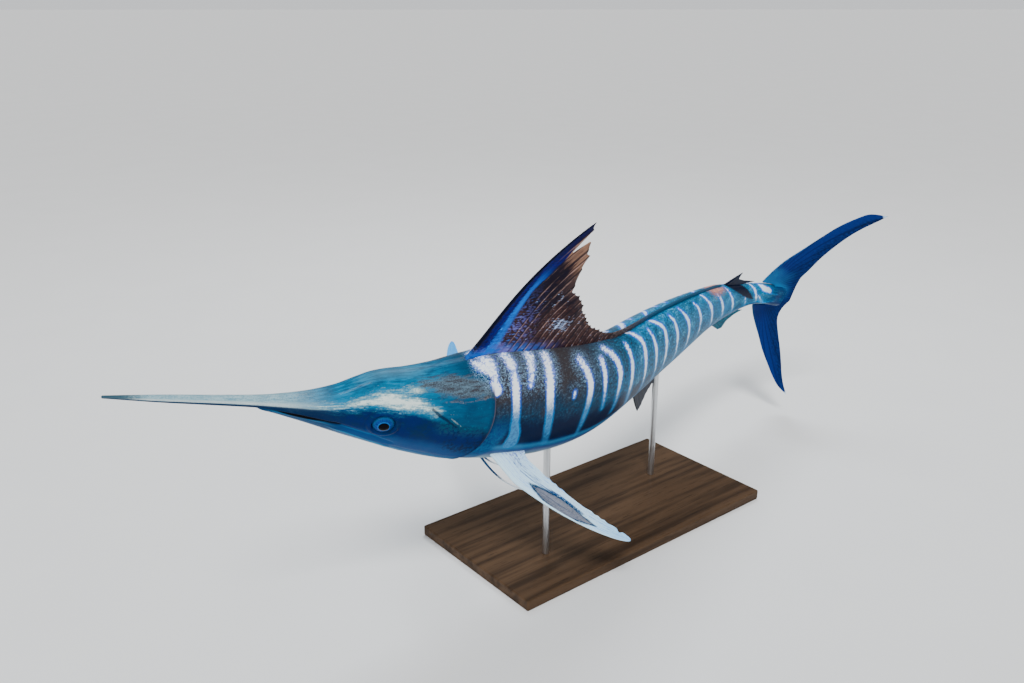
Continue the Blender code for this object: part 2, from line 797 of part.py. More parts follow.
def ring_swell(head, place, radius):
    """Raises the skin of the head into a low rim round an eye."""
    point, out, _along, _around = place
    turn = world_axes()
    centre = Vector(turn @ point)
    away = Vector(turn @ out)
    for vertex in head.data.vertices:
        offset = vertex.co - centre
        level = offset.dot(away)
        flat = (offset - away * level).length
        if abs(level) < 0.03:
            vertex.co += away * ORBIT_RIM * math.exp(-(((flat - radius) / 0.009) ** 2))


def build_eyes(head, paint):
    """Eyes set in sockets of their own shape, and a nostril in front of each."""
    cutters = []
    for name, side in (("eye_left", -1), ("eye_right", 1)):
        angle = math.radians(EYE_ANGLE_DEG)
        nostril = math.radians(NOSTRIL_ANGLE_DEG)
        if side > 0:
            angle = math.pi - angle
            nostril = math.pi - nostril
        place = surface_frame(EYE_STATION, angle)
        point, out, along, around = place
        ring_swell(head, place, EYE_RADIUS + 0.003)
        centre = point - out * EYE_DEPTH
        axes = (out, along, around)
        ball(name, centre, axes, (EYE_THICK, EYE_RADIUS, EYE_RADIUS * 0.94), 20, 10, paint)
        grown = (EYE_THICK + 0.0006, EYE_RADIUS + 0.0006, EYE_RADIUS * 0.94 + 0.0006)
        cutters.append(ball("socket", centre, axes, grown, 20, 10, paint))
        point, out, along, around = surface_frame(NOSTRIL_STATION, nostril)
        radius = NOSTRIL_RADIUS
        sizes = (radius, radius * 1.5, radius * 0.8)
        cutters.append(ball("nostril", point, (out, along, around), sizes, 12, 8, paint))
    cut(head, cutters)
    return head


def lowest(objects):
    """The lowest world height of the objects."""
    return min(vertex.co.z for obj in objects for vertex in obj.data.vertices)


def build_stand(base_paint, rod_paint, carried, trunk):
    """Base plate under the fish and two rods up to the belly."""
    top = lowest(carried) - FIN_CLEARANCE
    turn = world_axes()
    feet = []
    for station in ROD_STATIONS:
        feet.append(turn @ skin(np.array([station]), np.array([-math.pi / 2]))[0])
    centre = (feet[0] + feet[1]) / 2
    for name, foot in zip(("stand_rod_front", "stand_rod_rear"), feet):
        build_rod(name, foot, top, trunk, rod_paint)
    build_base(centre, top, base_paint)
    return centre, top


def build_rod(name, foot, top, trunk, paint):
    """A round rod whose upper end follows the belly it carries."""
    steps = 24
    trees = [BVHTree.FromPolygons([v.co for v in o.data.vertices], [p.vertices for p in o.data.polygons]) for o in trunk]
    centre_x, centre_y = place_under(foot, trees)
    points = []
    for level in (0, 1):
        for j in range(steps):
            turn = 2 * math.pi * j / steps
            x = centre_x + ROD_RADIUS * math.cos(turn)
            y = centre_y + ROD_RADIUS * math.sin(turn)
            points.append((x, y, top + GAP if level == 0 else hit_height(trees, x, y) - ROD_SEAT))
    points.append((centre_x, centre_y, top + GAP))
    points.append((centre_x, centre_y, hit_height(trees, centre_x, centre_y) - ROD_SEAT))
    faces = []
    for j in range(steps):
        k = (j + 1) % steps
        faces.append((j, k, steps + k))
        faces.append((j, steps + k, steps + j))
        faces.append((2 * steps, k, j))
        faces.append((2 * steps + 1, steps + j, steps + k))
    unturned = np.array(points) @ world_axes()
    return turn_outward(new_object(name, unturned, faces, paint))


def hit_height(trees, x, y):
    """Height at which a line straight up first meets the body."""
    found = [tree.ray_cast(Vector((x, y, -3.0)), Vector((0, 0, 1))) for tree in trees]
    return min(hit[0].z for hit in found if hit[0] is not None)


def place_under(foot, trees):
    """The spot near the belly line where the body is lowest across."""
    best = None
    for k in range(-24, 25):
        y = foot[1] + k * 0.004
        z = hit_or_none(trees, foot[0], y)
        if z is not None and (best is None or z < best[0]):
            best = (z, y)
    return foot[0], best[1]


def hit_or_none(trees, x, y):
    """Height at which a line straight up meets the body, or None beside it."""
    found = [tree.ray_cast(Vector((x, y, -3.0)), Vector((0, 0, 1))) for tree in trees]
    heights = [hit[0].z for hit in found if hit[0] is not None]
    return min(heights) if heights else None


def build_base(centre, top, paint):
    """A flat base plate with eased edges."""
    size = BASE_SIZE
    mesh = bpy.data.meshes.new("stand_base")
    corners = []
    for z in (-size[2], 0.0):
        for x, y in ((-1, -1), (1, -1), (1, 1), (-1, 1)):
            corners.append((centre[0] + x * size[0] / 2, centre[1] + y * size[1] / 2, top + z))
    faces = [(3, 2, 1, 0), (4, 5, 6, 7), (0, 1, 5, 4), (1, 2, 6, 5), (2, 3, 7, 6), (3, 0, 4, 7)]
    mesh.from_pydata(corners, [], faces)
    obj = bpy.data.objects.new("stand_base", mesh)
    obj.data.materials.append(paint)
    MODEL.objects.link(obj)
    ease = obj.modifiers.new("ease", "BEVEL")
    ease.width = BASE_BEVEL
    ease.segments = 2
    ease.limit_method = "ANGLE"
    apply(obj)
    return obj


def settle(centre, top):
    """Moves everything so that the middle of the base's underside is the origin."""
    shift = Vector((-centre[0], -centre[1], -(top - BASE_SIZE[2])))
    for obj in MODEL.objects:
        for vertex in obj.data.vertices:
            vertex.co += shift
        obj.data.update()


for old in list(bpy.data.objects):
    bpy.data.objects.remove(old)
MODEL = bpy.data.collections.new("striped_marlin")
bpy.context.scene.collection.children.link(MODEL)

flesh = material("skin", (0.10, 0.16, 0.24), 0.35)
horn = material("bill", (0.42, 0.43, 0.42), 0.45)
membrane = material("fin", (0.05, 0.08, 0.20), 0.45)
eye_paint = material("eye", (0.02, 0.02, 0.03), 0.08)
wood = material("stand_base", (0.05, 0.035, 0.025), 0.4)
steel = material("stand_rod", (0.62, 0.63, 0.64), 0.3, 1.0)

jaw("bill", lambda s: outline(s)[0], bill_low, BILL_TIP, MOUTH_CORNER, horn)
jaw("lower_jaw", lambda s: mouth_height(s) - LIP_GAP / 2, lambda s: -outline(s)[1], JAW_TIP, MOUTH_CORNER, flesh)
skull = build_head(flesh)
build_eyes(skull, eye_paint)
edge_line = gill_edge(ANGLES) + GAP
lengths = [build_length("trunk_front", edge_line, TRUNK_CUTS[0], flesh)]
lengths.append(build_length("trunk_mid", TRUNK_CUTS[0] + GAP, TRUNK_CUTS[1], flesh))
lengths.append(build_length("trunk_rear", TRUNK_CUTS[1] + GAP, TRUNK_CUTS[2], flesh))
lengths.append(build_length("tail_base", TRUNK_CUTS[2] + GAP, TAIL_END, flesh, keels=True))

median_fin("first_dorsal_fin", DORSAL_TALL, 1, 10, False, membrane, bow=DORSAL_BOW)
median_fin("dorsal_fin_low", DORSAL_LOW, 3, 2, False, membrane, first_thick=1.0)
median_fin("second_dorsal_fin", DORSAL_SECOND, 1, 4, False, membrane)
median_fin("first_anal_fin", ANAL_FIRST, 1, 8, True, membrane)
median_fin("second_anal_fin", ANAL_SECOND, 1, 5, True, membrane)
tail_lobe("caudal_fin_upper", 1, LOBE_FRONT, LOBE_REAR, membrane)
tail_lobe("caudal_fin_lower", -1, LOWER_FRONT, LOWER_REAR, membrane)
paired = [
    pectoral("pectoral_fin_left", -1, PECTORAL_TIP_LEFT, membrane),
    pectoral("pectoral_fin_right", 1, PECTORAL_TIP_RIGHT, membrane),
    pelvic("pelvic_fin_left", -1, membrane),
    pelvic("pelvic_fin_right", 1, membrane),
]
for fin in paired:
    cut(fin, [build_length("clearance", edge_line, TRUNK_CUTS[0], flesh, lift=GAP)])

whole = list(MODEL.objects)
base_centre, base_top = build_stand(wood, steel, whole, lengths)
settle(base_centre, base_top)
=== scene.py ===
"""Striped marlin, life size: its skin, fins, eyes, stand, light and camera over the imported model."""

import logging
import math
from dataclasses import dataclass
from enum import Enum
from typing import Sequence

import bpy
import numpy as np
from mathutils import Matrix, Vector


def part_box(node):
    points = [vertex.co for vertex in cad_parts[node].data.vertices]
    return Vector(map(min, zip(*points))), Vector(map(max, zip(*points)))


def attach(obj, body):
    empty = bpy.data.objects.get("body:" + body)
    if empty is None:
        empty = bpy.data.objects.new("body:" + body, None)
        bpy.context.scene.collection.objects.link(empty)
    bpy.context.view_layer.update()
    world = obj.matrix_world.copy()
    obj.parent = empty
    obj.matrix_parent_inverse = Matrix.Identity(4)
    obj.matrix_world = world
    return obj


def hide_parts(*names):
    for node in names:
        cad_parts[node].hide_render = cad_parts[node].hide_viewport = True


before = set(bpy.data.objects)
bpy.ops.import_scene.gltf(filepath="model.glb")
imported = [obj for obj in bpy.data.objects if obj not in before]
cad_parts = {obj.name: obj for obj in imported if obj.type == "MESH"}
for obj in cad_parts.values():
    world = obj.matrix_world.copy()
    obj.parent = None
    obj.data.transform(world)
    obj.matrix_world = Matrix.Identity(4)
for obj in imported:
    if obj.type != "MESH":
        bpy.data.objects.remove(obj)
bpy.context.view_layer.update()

LOG = logging.getLogger("marlin")
Array = np.ndarray
Colour = tuple[float, float, float]


class Side(Enum):
    """The two sides of the fish, by the sign of the way out to its right."""

    LEFT = -1
    RIGHT = 1

    def turned(self, angle: float) -> float:
        """An angle of the left flank, carried over to this side."""
        return angle if self is Side.LEFT else math.pi - angle


@dataclass(frozen=True)
class BodyPlan:
    """Named sizes of the fish in metres, by station along its spine."""

    bend: tuple = (
        (0.72, 0.0, 0.0),
        (1.05, 9.5, 1.0),
        (1.40, 33.0, 1.9),
        (1.75, 31.0, 1.9),
        (1.95, 30.0, 1.2),
        (2.10, 24.5, 0.3),
        (2.22, 23.0, -0.5),
        (2.34, 12.0, -1.1),
        (2.46, -20.0, -1.4),
        (2.60, -50.0, -1.2),
    )
    outline: tuple = (
        (0.092, 0.0025, 0.0025, 0.0035),
        (0.200, 0.0065, 0.0065, 0.0095),
        (0.320, 0.0095, 0.0095, 0.0130),
        (0.390, 0.0115, 0.0175, 0.0165),
        (0.470, 0.0205, 0.0405, 0.0250),
        (0.545, 0.0430, 0.0660, 0.0350),
        (0.590, 0.0690, 0.0810, 0.0420),
        (0.620, 0.0845, 0.0900, 0.0470),
        (0.650, 0.0925, 0.0990, 0.0520),
        (0.690, 0.0985, 0.1110, 0.0580),
        (0.740, 0.1110, 0.1245, 0.0650),
        (0.800, 0.1300, 0.1370, 0.0720),
        (0.900, 0.1565, 0.1500, 0.0775),
        (1.100, 0.1640, 0.1620, 0.0810),
        (1.400, 0.1480, 0.1530, 0.0760),
        (1.700, 0.1200, 0.1220, 0.0640),
        (2.000, 0.0840, 0.0790, 0.0430),
        (2.200, 0.0530, 0.0475, 0.0310),
        (2.350, 0.0390, 0.0350, 0.0270),
        (2.440, 0.0380, 0.0350, 0.0240),
    )
    twist_deg: float = 6.6
    twist_from: float = 1.2
    twist_to: float = 2.5
    bill_tip: float = 0.092
    jaw_tip: float = 0.385
    mouth_corner: float = 0.560
    mouth_at_tip: float = -0.0060
    mouth_at_corner: float = -0.0300
    gill_top: float = 0.838
    gill_reach: float = 0.062
    gill_power: float = 1.5
    gill_lift: float = 0.0045
    eye_station: float = 0.655
    eye_angle: float = math.radians(-8.0)
    eye_radius: float = 0.0265
    eye_thick: float = 0.0170
    eye_depth: float = 0.0105
    keel_from: float = 2.315
    keel_to: float = 2.398
    keel_height: float = 0.0105
    keel_angle: float = math.radians(22.5)
    tail_end: float = 2.400
    world_up: tuple = (-0.223, 0.332, 0.917)
    length_way: tuple = (2.34, 0.516, 0.023)


PLAN = BodyPlan()


def smooth(x: Array) -> Array:
    """The cubic step from 0 to 1.

    Args:
        x: Values, where 0 and 1 are the ends of the step.

    Returns:
        The stepped values.
    """
    x = np.clip(x, 0.0, 1.0)
    return x * x * (3.0 - 2.0 * x)


def bell(x: Array) -> Array:
    """A bell curve, e to the power of minus x squared: 1 at 0 and about a third at 1."""
    return np.exp(-(x**2))


def unit(way: Array) -> Array:
    """A vector divided by its own length."""
    return way / np.linalg.norm(way)


def monotone(xs: Sequence[float], ys: Sequence[float], x: Array) -> Array:
    """A smooth curve through the points that keeps each stretch between its ends.

    Cubics join the points. The slope at each is a weighted harmonic mean of the slopes beside it, and 0 where
    the curve turns.

    Args:
        xs: Rising places of the points.
        ys: Values there.
        x: Where the curve is read.

    Returns:
        The curve's values.
    """
    xs = np.asarray(xs, float)
    ys = np.asarray(ys, float)
    width = np.diff(xs)
    rise = np.diff(ys) / width
    slope = np.zeros(len(xs))
    same = rise[1:] * rise[:-1] > 0
    before = 2 * width[1:] + width[:-1]
    after = width[1:] + 2 * width[:-1]
    product = np.where(same, rise[1:] * rise[:-1], 1.0)
    slope[1:-1] = np.where(
        same,
        (before + after) * product / (before * rise[1:] + after * rise[:-1] + ~same),
        0.0,
    )
    slope[0] = rise[0]
    slope[-1] = rise[-1]
    x = np.clip(np.asarray(x, float), xs[0], xs[-1])
    i = np.clip(np.searchsorted(xs, x) - 1, 0, len(width) - 1)
    t = (x - xs[i]) / width[i]
    start = (1 + 2 * t) * (1 - t) ** 2 * ys[i] + t * (1 - t) ** 2 * width[i] * slope[i]
    return start + t * t * (3 - 2 * t) * ys[i + 1] + t * t * (t - 1) * width[i] * slope[i + 1]


class Spine:
    """The bent middle line of the fish, with its directions along, up and to the right."""

    STEP = 0.005
    REACH = 2.901

    def __init__(self, plan: BodyPlan) -> None:
        """Integrates the headings of the plan into a line: each step goes the mean way of its two ends.

        Args:
            plan: The fish's sizes.
        """
        self.s = np.arange(0.0, self.REACH, self.STEP)
        knots, heading, rise = (np.array(column) for column in zip(*plan.bend))
        a = np.radians(monotone(knots, heading, self.s))
        b = np.radians(monotone(knots, rise, self.s))
        along = np.stack([np.cos(a) * np.cos(b), np.sin(a) * np.cos(b), np.sin(b)], 1)
        up = np.stack([-np.cos(a) * np.sin(b), -np.sin(a) * np.sin(b), np.cos(b)], 1)
        right = np.cross(up, along)
        share = np.clip((self.s - plan.twist_from) / (plan.twist_to - plan.twist_from), 0, 1)
        twist = math.radians(plan.twist_deg) * share
        c = np.cos(twist)[:, None]
        d = np.sin(twist)[:, None]
        self.along = along
        self.up = up * c + right * d
        self.right = right * c - up * d
        line = np.concatenate([[np.zeros(3)], np.cumsum((along[1:] + along[:-1]) / 2 * self.STEP, axis=0)])
        fixed = np.array([np.interp(knots[0], self.s, line[:, k]) for k in range(3)])
        self.line = line - fixed + np.array([knots[0], 0, 0])

    def at(self, s: Array, table: Array) -> Array:
        """Reads the line or one of the directions by linear interpolation.

        Args:
            s: Stations.
            table: self.line, self.along, self.up or self.right.

        Returns:
            One point or direction for each station.
        """
        return np.stack([np.interp(s, self.s, table[:, k]) for k in range(3)], -1)

    def place(self, s: Array, y: Array, z: Array) -> Array:
        """Points beside the line.

        Args:
            s: Stations.
            y: Distances to the fish's right.
            z: Distances up.

        Returns:
            Points in the fish's own frame.
        """
        s = np.asarray(s, float)
        y = np.asarray(y, float)[..., None]
        z = np.asarray(z, float)[..., None]
        return self.at(s, self.line) + self.at(s, self.right) * y + self.at(s, self.up) * z


@dataclass(frozen=True)
class Body:
    """The surface of head and trunk as a function of station and angle."""

    BESIDE = 0.004
    BESIDE_TURN = 0.03
    SIDE_POWER = 0.9
    BACK_POWER = 1.04
    BELLY_POWER = 0.98

    plan: BodyPlan
    spine: Spine

    def outline(self, s: Array) -> tuple:
        """Height of the back, depth of the belly and half width.

        Args:
            s: Stations.

        Returns:
            Three arrays like s.
        """
        rows = np.array(self.plan.outline)
        return tuple(monotone(rows[:, 0], rows[:, k], s) for k in (1, 2, 3))

    def gill_edge(self, angle: Array) -> Array:
        """Station of the gill covers' rear rim: it reaches back by a power of the cosine of the angle."""
        return self.plan.gill_top + self.plan.gill_reach * np.abs(np.cos(angle)) ** self.plan.gill_power

    def ring(self, s: Array, angle: Array, sizes: tuple, lift: Array = 0.0) -> Array:
        """Points on rings round the spine: near ellipses, with their own powers of sine and cosine.

        Args:
            s: Stations.
            angle: Angles from the left flank over the back.
            sizes: Height, depth and half width of the rings.
            lift: How far each point stands out along its ring's radius.

        Returns:
            Points in the fish's own frame.
        """
        top, low, half = sizes
        c = np.cos(angle)
        d = np.sin(angle)
        y = -half * np.sign(c) * np.abs(c) ** self.SIDE_POWER
        z = np.where(d > 0, top * np.abs(d) ** self.BACK_POWER, -low * np.abs(d) ** self.BELLY_POWER)
        size = np.hypot(y, z) + 1e-9
        return self.spine.place(s, y * (1 + lift / size), z * (1 + lift / size))

    def skin(self, s: Array, angle: Array) -> Array:
        """Points of the plain outer surface.

        Args:
            s: Stations.
            angle: Angles from the left flank over the back.

        Returns:
            Points in the fish's own frame.
        """
        s, angle = np.broadcast_arrays(np.asarray(s, float), np.asarray(angle, float))
        return self.ring(s, angle, self.outline(s))

    def frame_at(self, s: float, angle: float) -> tuple:
        """Directions of the skin at one place, from points a little beside it.

        Args:
            s: Station.
            angle: Angle round the body.

        Returns:
            Point, way out, way along and way round.
        """
        point = self.skin(s, angle)
        along = unit(self.skin(s + self.BESIDE, angle) - self.skin(s - self.BESIDE, angle))
        around = self.skin(s, angle + self.BESIDE_TURN) - self.skin(s, angle - self.BESIDE_TURN)
        out = unit(np.cross(around, along))
        if np.dot(out, point - self.spine.place(s, 0.0, 0.0)) < 0:
            out = -out
        return point, out, along, np.cross(out, along)


class Attitude:
    """Turns the fish's own frame into the world, as it sits on its stand."""

    def __init__(self, plan: BodyPlan, body: Body) -> None:
        """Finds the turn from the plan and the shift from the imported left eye.

        Args:
            plan: The fish's sizes.
            body: Its surface.
        """
        z = unit(np.array(plan.world_up))
        x = unit(np.array(plan.length_way) - z * np.dot(plan.length_way, z))
        self.axes = np.stack([x, np.cross(z, x), z])
        point, out, _along, _around = body.frame_at(plan.eye_station, plan.eye_angle)
        low, high = (np.array(corner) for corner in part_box("eye_left"))
        self.shift = (low + high) / 2 - self.axes @ (point - out * plan.eye_depth)

    def world(self, points: Array) -> Array:
        """Places points of the fish's frame in the world."""
        return np.asarray(points) @ self.axes.T + self.shift

    def turn(self, ways: Array) -> Array:
        """Turns directions of the fish's frame into the world's."""
        return np.asarray(ways) @ self.axes.T


SPINE = Spine(PLAN)
BODY = Body(PLAN, SPINE)
ATTITUDE = Attitude(PLAN, BODY)


class Graph:
    """Adds nodes to one node tree."""

    def __init__(self, tree: bpy.types.NodeTree) -> None:
        """Keeps the tree."""
        self.tree = tree

    def feed(self, value: object, socket: bpy.types.NodeSocket) -> None:
        """Links a value into an input, or sets it there.

        Args:
            value: A Sock, a number or numbers.
            socket: The input.
        """
        if isinstance(value, Sock):
            self.tree.links.new(value.source, socket)
        else:
            socket.default_value = value

    def node(self, kind: str, settings: dict | None = None, sockets: dict | None = None) -> bpy.types.Node:
        """Adds one node.

        Args:
            kind: Its type, without the leading ShaderNode.
            settings: Its properties, which are set first.
            sockets: What goes into its inputs, by name or place.

        Returns:
            The node.
        """
        node = self.tree.nodes.new("ShaderNode" + kind)
        for key, value in (settings or {}).items():
            setattr(node, key, value)
        for key, value in (sockets or {}).items():
            self.feed(value, node.inputs[key])
        return node


class Sock:
    """A shader value: wraps a node's output, so that shader maths reads as Python expressions."""

    def __init__(self, graph: Graph, source: bpy.types.NodeSocket) -> None:
        """Keeps the graph and the output."""
        self.graph = graph
        self.source = source

    def _math(self, operation: str, *values: object) -> "Sock":
        """The result of a Math node on the values."""
        node = self.graph.node("Math", {"operation": operation}, dict(enumerate(values)))
        return Sock(self.graph, node.outputs[0])

    def __add__(self, other: object) -> "Sock":
        """The sum."""
        return self._math("ADD", self, other)

    def __sub__(self, other: object) -> "Sock":
        """The difference."""
        return self._math("SUBTRACT", self, other)

    def __rsub__(self, other: object) -> "Sock":
        """The difference from a number."""
        return self._math("SUBTRACT", other, self)

    def __mul__(self, other: object) -> "Sock":
        """The product."""
        return self._math("MULTIPLY", self, other)

    def __truediv__(self, other: object) -> "Sock":
        """The quotient."""
        return self._math("DIVIDE", self, other)

    __radd__ = __add__
    __rmul__ = __mul__

    def low(self, other: object) -> "Sock":
        """The lower of two values."""
        return self._math("MINIMUM", self, other)

    def high(self, other: object) -> "Sock":
        """The higher of two values."""
        return self._math("MAXIMUM", self, other)

    def wave(self) -> "Sock":
        """Its sine."""
        return self._math("SINE", self)

    def off(self, middle: float) -> "Sock":
        """Its distance from a middle."""
        return self._math("ABSOLUTE", self - middle)

    def sway(self, size: float) -> "Sock":
        """Noise turned into a push either way: less one half, times a size."""
        return (self - 0.5) * size

    def mixed(self, other: "Sock", share: float) -> "Sock":
        """Its mean with another value, which has the share given."""
        return self * (1.0 - share) + other * share

    def step(self, start: float, end: float) -> "Sock":
        """A smooth step of the value, the cubic 3 t t - 2 t t t.

        Args:
            start: Where the step begins (0).
            end: Where it ends (1), above or below start.

        Returns:
            Values from 0 to 1.
        """
        falls = end < start
        sockets = {
            "Value": self,
            "From Min": min(start, end),
            "From Max": max(start, end),
            "To Min": 1.0 if falls else 0.0,
            "To Max": 0.0 if falls else 1.0,
        }
        node = self.graph.node("MapRange", {"interpolation_type": "SMOOTHSTEP"}, sockets)
        return Sock(self.graph, node.outputs["Result"])


class Paint(Graph):
    """One procedural material under way."""

    COAT_ROUGHNESS = 0.12
    DULL = 0.04
    SHINY = 0.5
    MIX_UNDER = 6
    MIX_OVER = 7
    MIX_RESULT = 2

    def __init__(self, name: str, coat: float = 0.0, metal: float = 0.0) -> None:
        """Starts a Principled material.

        Args:
            name: The material's name.
            coat: Coat weight.
            metal: Metallic.
        """
        self.made = bpy.data.materials.new(name)
        self.made.use_nodes = True
        super().__init__(self.made.node_tree)
        self.shader = self.tree.nodes["Principled BSDF"]
        for key, value in (
            ("Metallic", metal),
            ("Coat Weight", coat),
            ("Coat Roughness", self.COAT_ROUGHNESS),
            ("Specular IOR Level", self.SHINY if metal else self.DULL),
        ):
            self.feed(value, self.shader.inputs[key])
        self.place = Sock(self, self.node("TexCoord").outputs["Object"])

    def values(self, *names: str) -> list[Sock]:
        """Float attributes of the mesh, by their names."""
        return [Sock(self, self.node("Attribute", {"attribute_name": name}).outputs["Fac"]) for name in names]

    def point(self, x: Sock, y: Sock) -> Sock:
        """A position from two values, for noise that follows the fish."""
        return Sock(self, self.node("CombineXYZ", {}, {"X": x, "Y": y}).outputs[0])

    def stretched(self, scale: tuple) -> Sock:
        """The object's own coordinates, scaled."""
        node = self.node("Mapping", {}, {"Vector": self.place, "Scale": scale})
        return Sock(self, node.outputs["Vector"])

    def noise(self, scale: float, detail: float, rough: float, at: Sock | None = None) -> Sock:
        """Noise from 0 to 1.

        Args:
            scale: Waves for each metre.
            detail: Octaves.
            rough: Weight of the fine ones.
            at: Where it is read, or None for the object's own coordinates.

        Returns:
            The value.
        """
        sockets = {"Vector": at or self.place, "Scale": scale, "Detail": detail, "Roughness": rough}
        return Sock(self, self.node("TexNoise", {}, sockets).outputs["Fac"])

    def blend(self, share: Sock, under: object, over: object) -> Sock:
        """Mixes two colours.

        Args:
            share: How much of the second.
            under: First colour, as a Sock or three numbers.
            over: Second colour, likewise.

        Returns:
            The colour.
        """
        first, second = (colour if isinstance(colour, Sock) else (*colour, 1.0) for colour in (under, over))
        sockets = {0: share, self.MIX_UNDER: first, self.MIX_OVER: second}
        node = self.node("Mix", {"data_type": "RGBA", "clamp_factor": True}, sockets)
        return Sock(self, node.outputs[self.MIX_RESULT])

    def coats(self, under: object, *coats: tuple) -> Sock:
        """Lays coats of colour over one another.

        Args:
            under: The first colour, as a Sock or three numbers.
            *coats: Pairs of a share and a colour, the lowest first.

        Returns:
            The colour.
        """
        for share, colour in coats:
            under = self.blend(share, under, colour)
        return under

    def relief(self, height: Sock, depth: float, strength: float = 0.5) -> None:
        """Sets the bump.

        Args:
            height: Height from 0 to 1.
            depth: Metres from 0 to 1.
            strength: How strongly it shades.
        """
        node = self.node("Bump", {}, {"Height": height, "Distance": depth, "Strength": strength})
        self.tree.links.new(node.outputs["Normal"], self.shader.inputs["Normal"])

    def done(self, colour: Sock, rough: object) -> bpy.types.Material:
        """Sets colour and roughness.

        Args:
            colour: Base colour.
            rough: Roughness.

        Returns:
            The material.
        """
        self.feed(colour, self.shader.inputs["Base Color"])
        self.feed(rough, self.shader.inputs["Roughness"])
        return self.made


def grid_faces(rows: int, columns: int, closed: bool) -> Array:
    """Quads of a grid of points.

    Args:
        rows: Points along.
        columns: Points across.
        closed: Whether the last column joins the first.

    Returns:
        Indices, four to a row.
    """
    i, j = np.meshgrid(np.arange(rows - 1), np.arange(columns if closed else columns - 1), indexing="ij")
    here = i * columns
    k = (j + 1) % columns
    return np.stack([here + j, here + k, here + columns + k, here + columns + j], -1).reshape(-1, 4)


def pole_faces(pole: int, first: int, count: int, flip: bool) -> Array:
    """Triangles from a pole to the ring of points beside it.

    Args:
        pole: The pole's index.
        first: Index of the ring's first point.
        count: Points of the ring.
        flip: Whether the ring is gone round the other way.

    Returns:
        Indices, three to a row.
    """
    j = first + np.arange(count)
    k = first + (np.arange(count) + 1) % count
    return np.stack([np.full_like(j, pole), j, k] if flip else [np.full_like(j, pole), k, j], 1)


class Piece:
    """A finished mesh piece of the model."""

    def __init__(self, name: str, points: Array, faces: Sequence[Array]) -> None:
        """Makes the mesh. Where its volume comes out negative, all its faces are turned round.

        Args:
            name: Piece name.
            points: Vertices in the fish's frame.
            faces: Arrays of quads or triangles.
        """
        points = ATTITUDE.world(np.asarray(points, float).reshape(-1, 3))
        polygons = [list(face) for group in faces for face in np.asarray(group).tolist()]
        first, second, third, last = (points[[p[k] for p in polygons]] for k in (0, 1, 2, -1))
        volume = np.einsum("ij,ij->i", first, np.cross(second, third) + np.cross(third, last)).sum()
        if volume < 0:
            polygons = [p[::-1] for p in polygons]
        mesh = bpy.data.meshes.new(name)
        mesh.from_pydata(points.tolist(), [], polygons)
        mesh.polygons.foreach_set("use_smooth", [True] * len(polygons))
        mesh.update()
        self.obj = bpy.data.objects.new(name, mesh)
        bpy.context.scene.collection.objects.link(self.obj)
        LOG.info("%s: %d faces", name, len(polygons))

    def mark(self, values: dict[str, Array]) -> "Piece":
        """Stores float attributes on the vertices.

        Args:
            values: One array for each attribute.

        Returns:
            The piece.
        """
        for name, value in values.items():
            layer = self.obj.data.attributes.new(name, "FLOAT", "POINT")
            layer.data.foreach_set("value", np.asarray(value, np.float32).ravel())
        return self

    def finish(self, material: bpy.types.Material, slot: str, *nodes: str) -> "Piece":
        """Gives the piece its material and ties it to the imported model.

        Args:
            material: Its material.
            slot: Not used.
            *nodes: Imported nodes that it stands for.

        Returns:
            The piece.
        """
        self.obj.data.materials.append(material)
        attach(self.obj, "root")
        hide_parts(*nodes)
        return self


@dataclass(frozen=True)
class Marks:
    """Bars and patches laid out on the skin, each a row of (station, angle in degrees, half width)."""

    lines: tuple
    block: int = 4000
    far: float = 0.06
    margin: float = 0.03

    def _dense(self, side: Side) -> tuple:
        """Close points along the lines of one side, and their half widths.

        The right side's lines are the left side's, each with small shifts of its own.

        Args:
            side: The side.

        Returns:
            Points and half widths.
        """
        points = []
        widths = []
        for k, line in enumerate(self.lines):
            s, a, w = (np.array(column, float) for column in zip(*line))
            count = max(6, int(3 + 160 * (abs(np.diff(s)).sum() + abs(np.diff(a)).sum() / 500)))
            t = np.linspace(0, 1, count)
            knots = np.linspace(0, 1, len(s))
            stations = monotone(knots, s, t) if len(s) > 2 else np.interp(t, knots, s)
            angles = np.radians(np.interp(t, knots, a))
            wide = np.interp(t, knots, w)
            if side is Side.RIGHT:
                stations = stations + 0.010 * math.sin(2.3 * k) + 0.012 * np.sin(3.1 * t + k)
                wide = wide * (1.0 + 0.25 * math.sin(1.7 * k + 1.0))
                angles = math.pi - angles
            points.append(BODY.skin(stations, angles))
            widths.append(wide)
        return np.concatenate(points), np.concatenate(widths)

    def distance(self, points: Array, side_of: Array) -> Array:
        """Distance from each point to the nearest line's edge, negative inside and at most self.far.

        Args:
            points: Skin points in the fish's frame.
            side_of: -1 on the left flank and 1 on the right.

        Returns:
            Distances.
        """
        found = np.full(len(points), self.far)
        for side in Side:
            chosen = np.nonzero(side_of == side.value)[0]
            dots, widths = self._dense(side)
            for start in range(0, len(chosen), self.block):
                rows = chosen[start : start + self.block]
                block = points[rows]
                reach = np.ptp(block[:, 0]) / 2 + self.far + self.margin
                near = np.abs(dots[:, 0] - block[:, 0].mean()) < reach
                if near.any():
                    gaps = np.linalg.norm(block[:, None] - dots[None, near], axis=2) - widths[near]
                    found[rows] = np.minimum(found[rows], gaps.min(1))
        return found


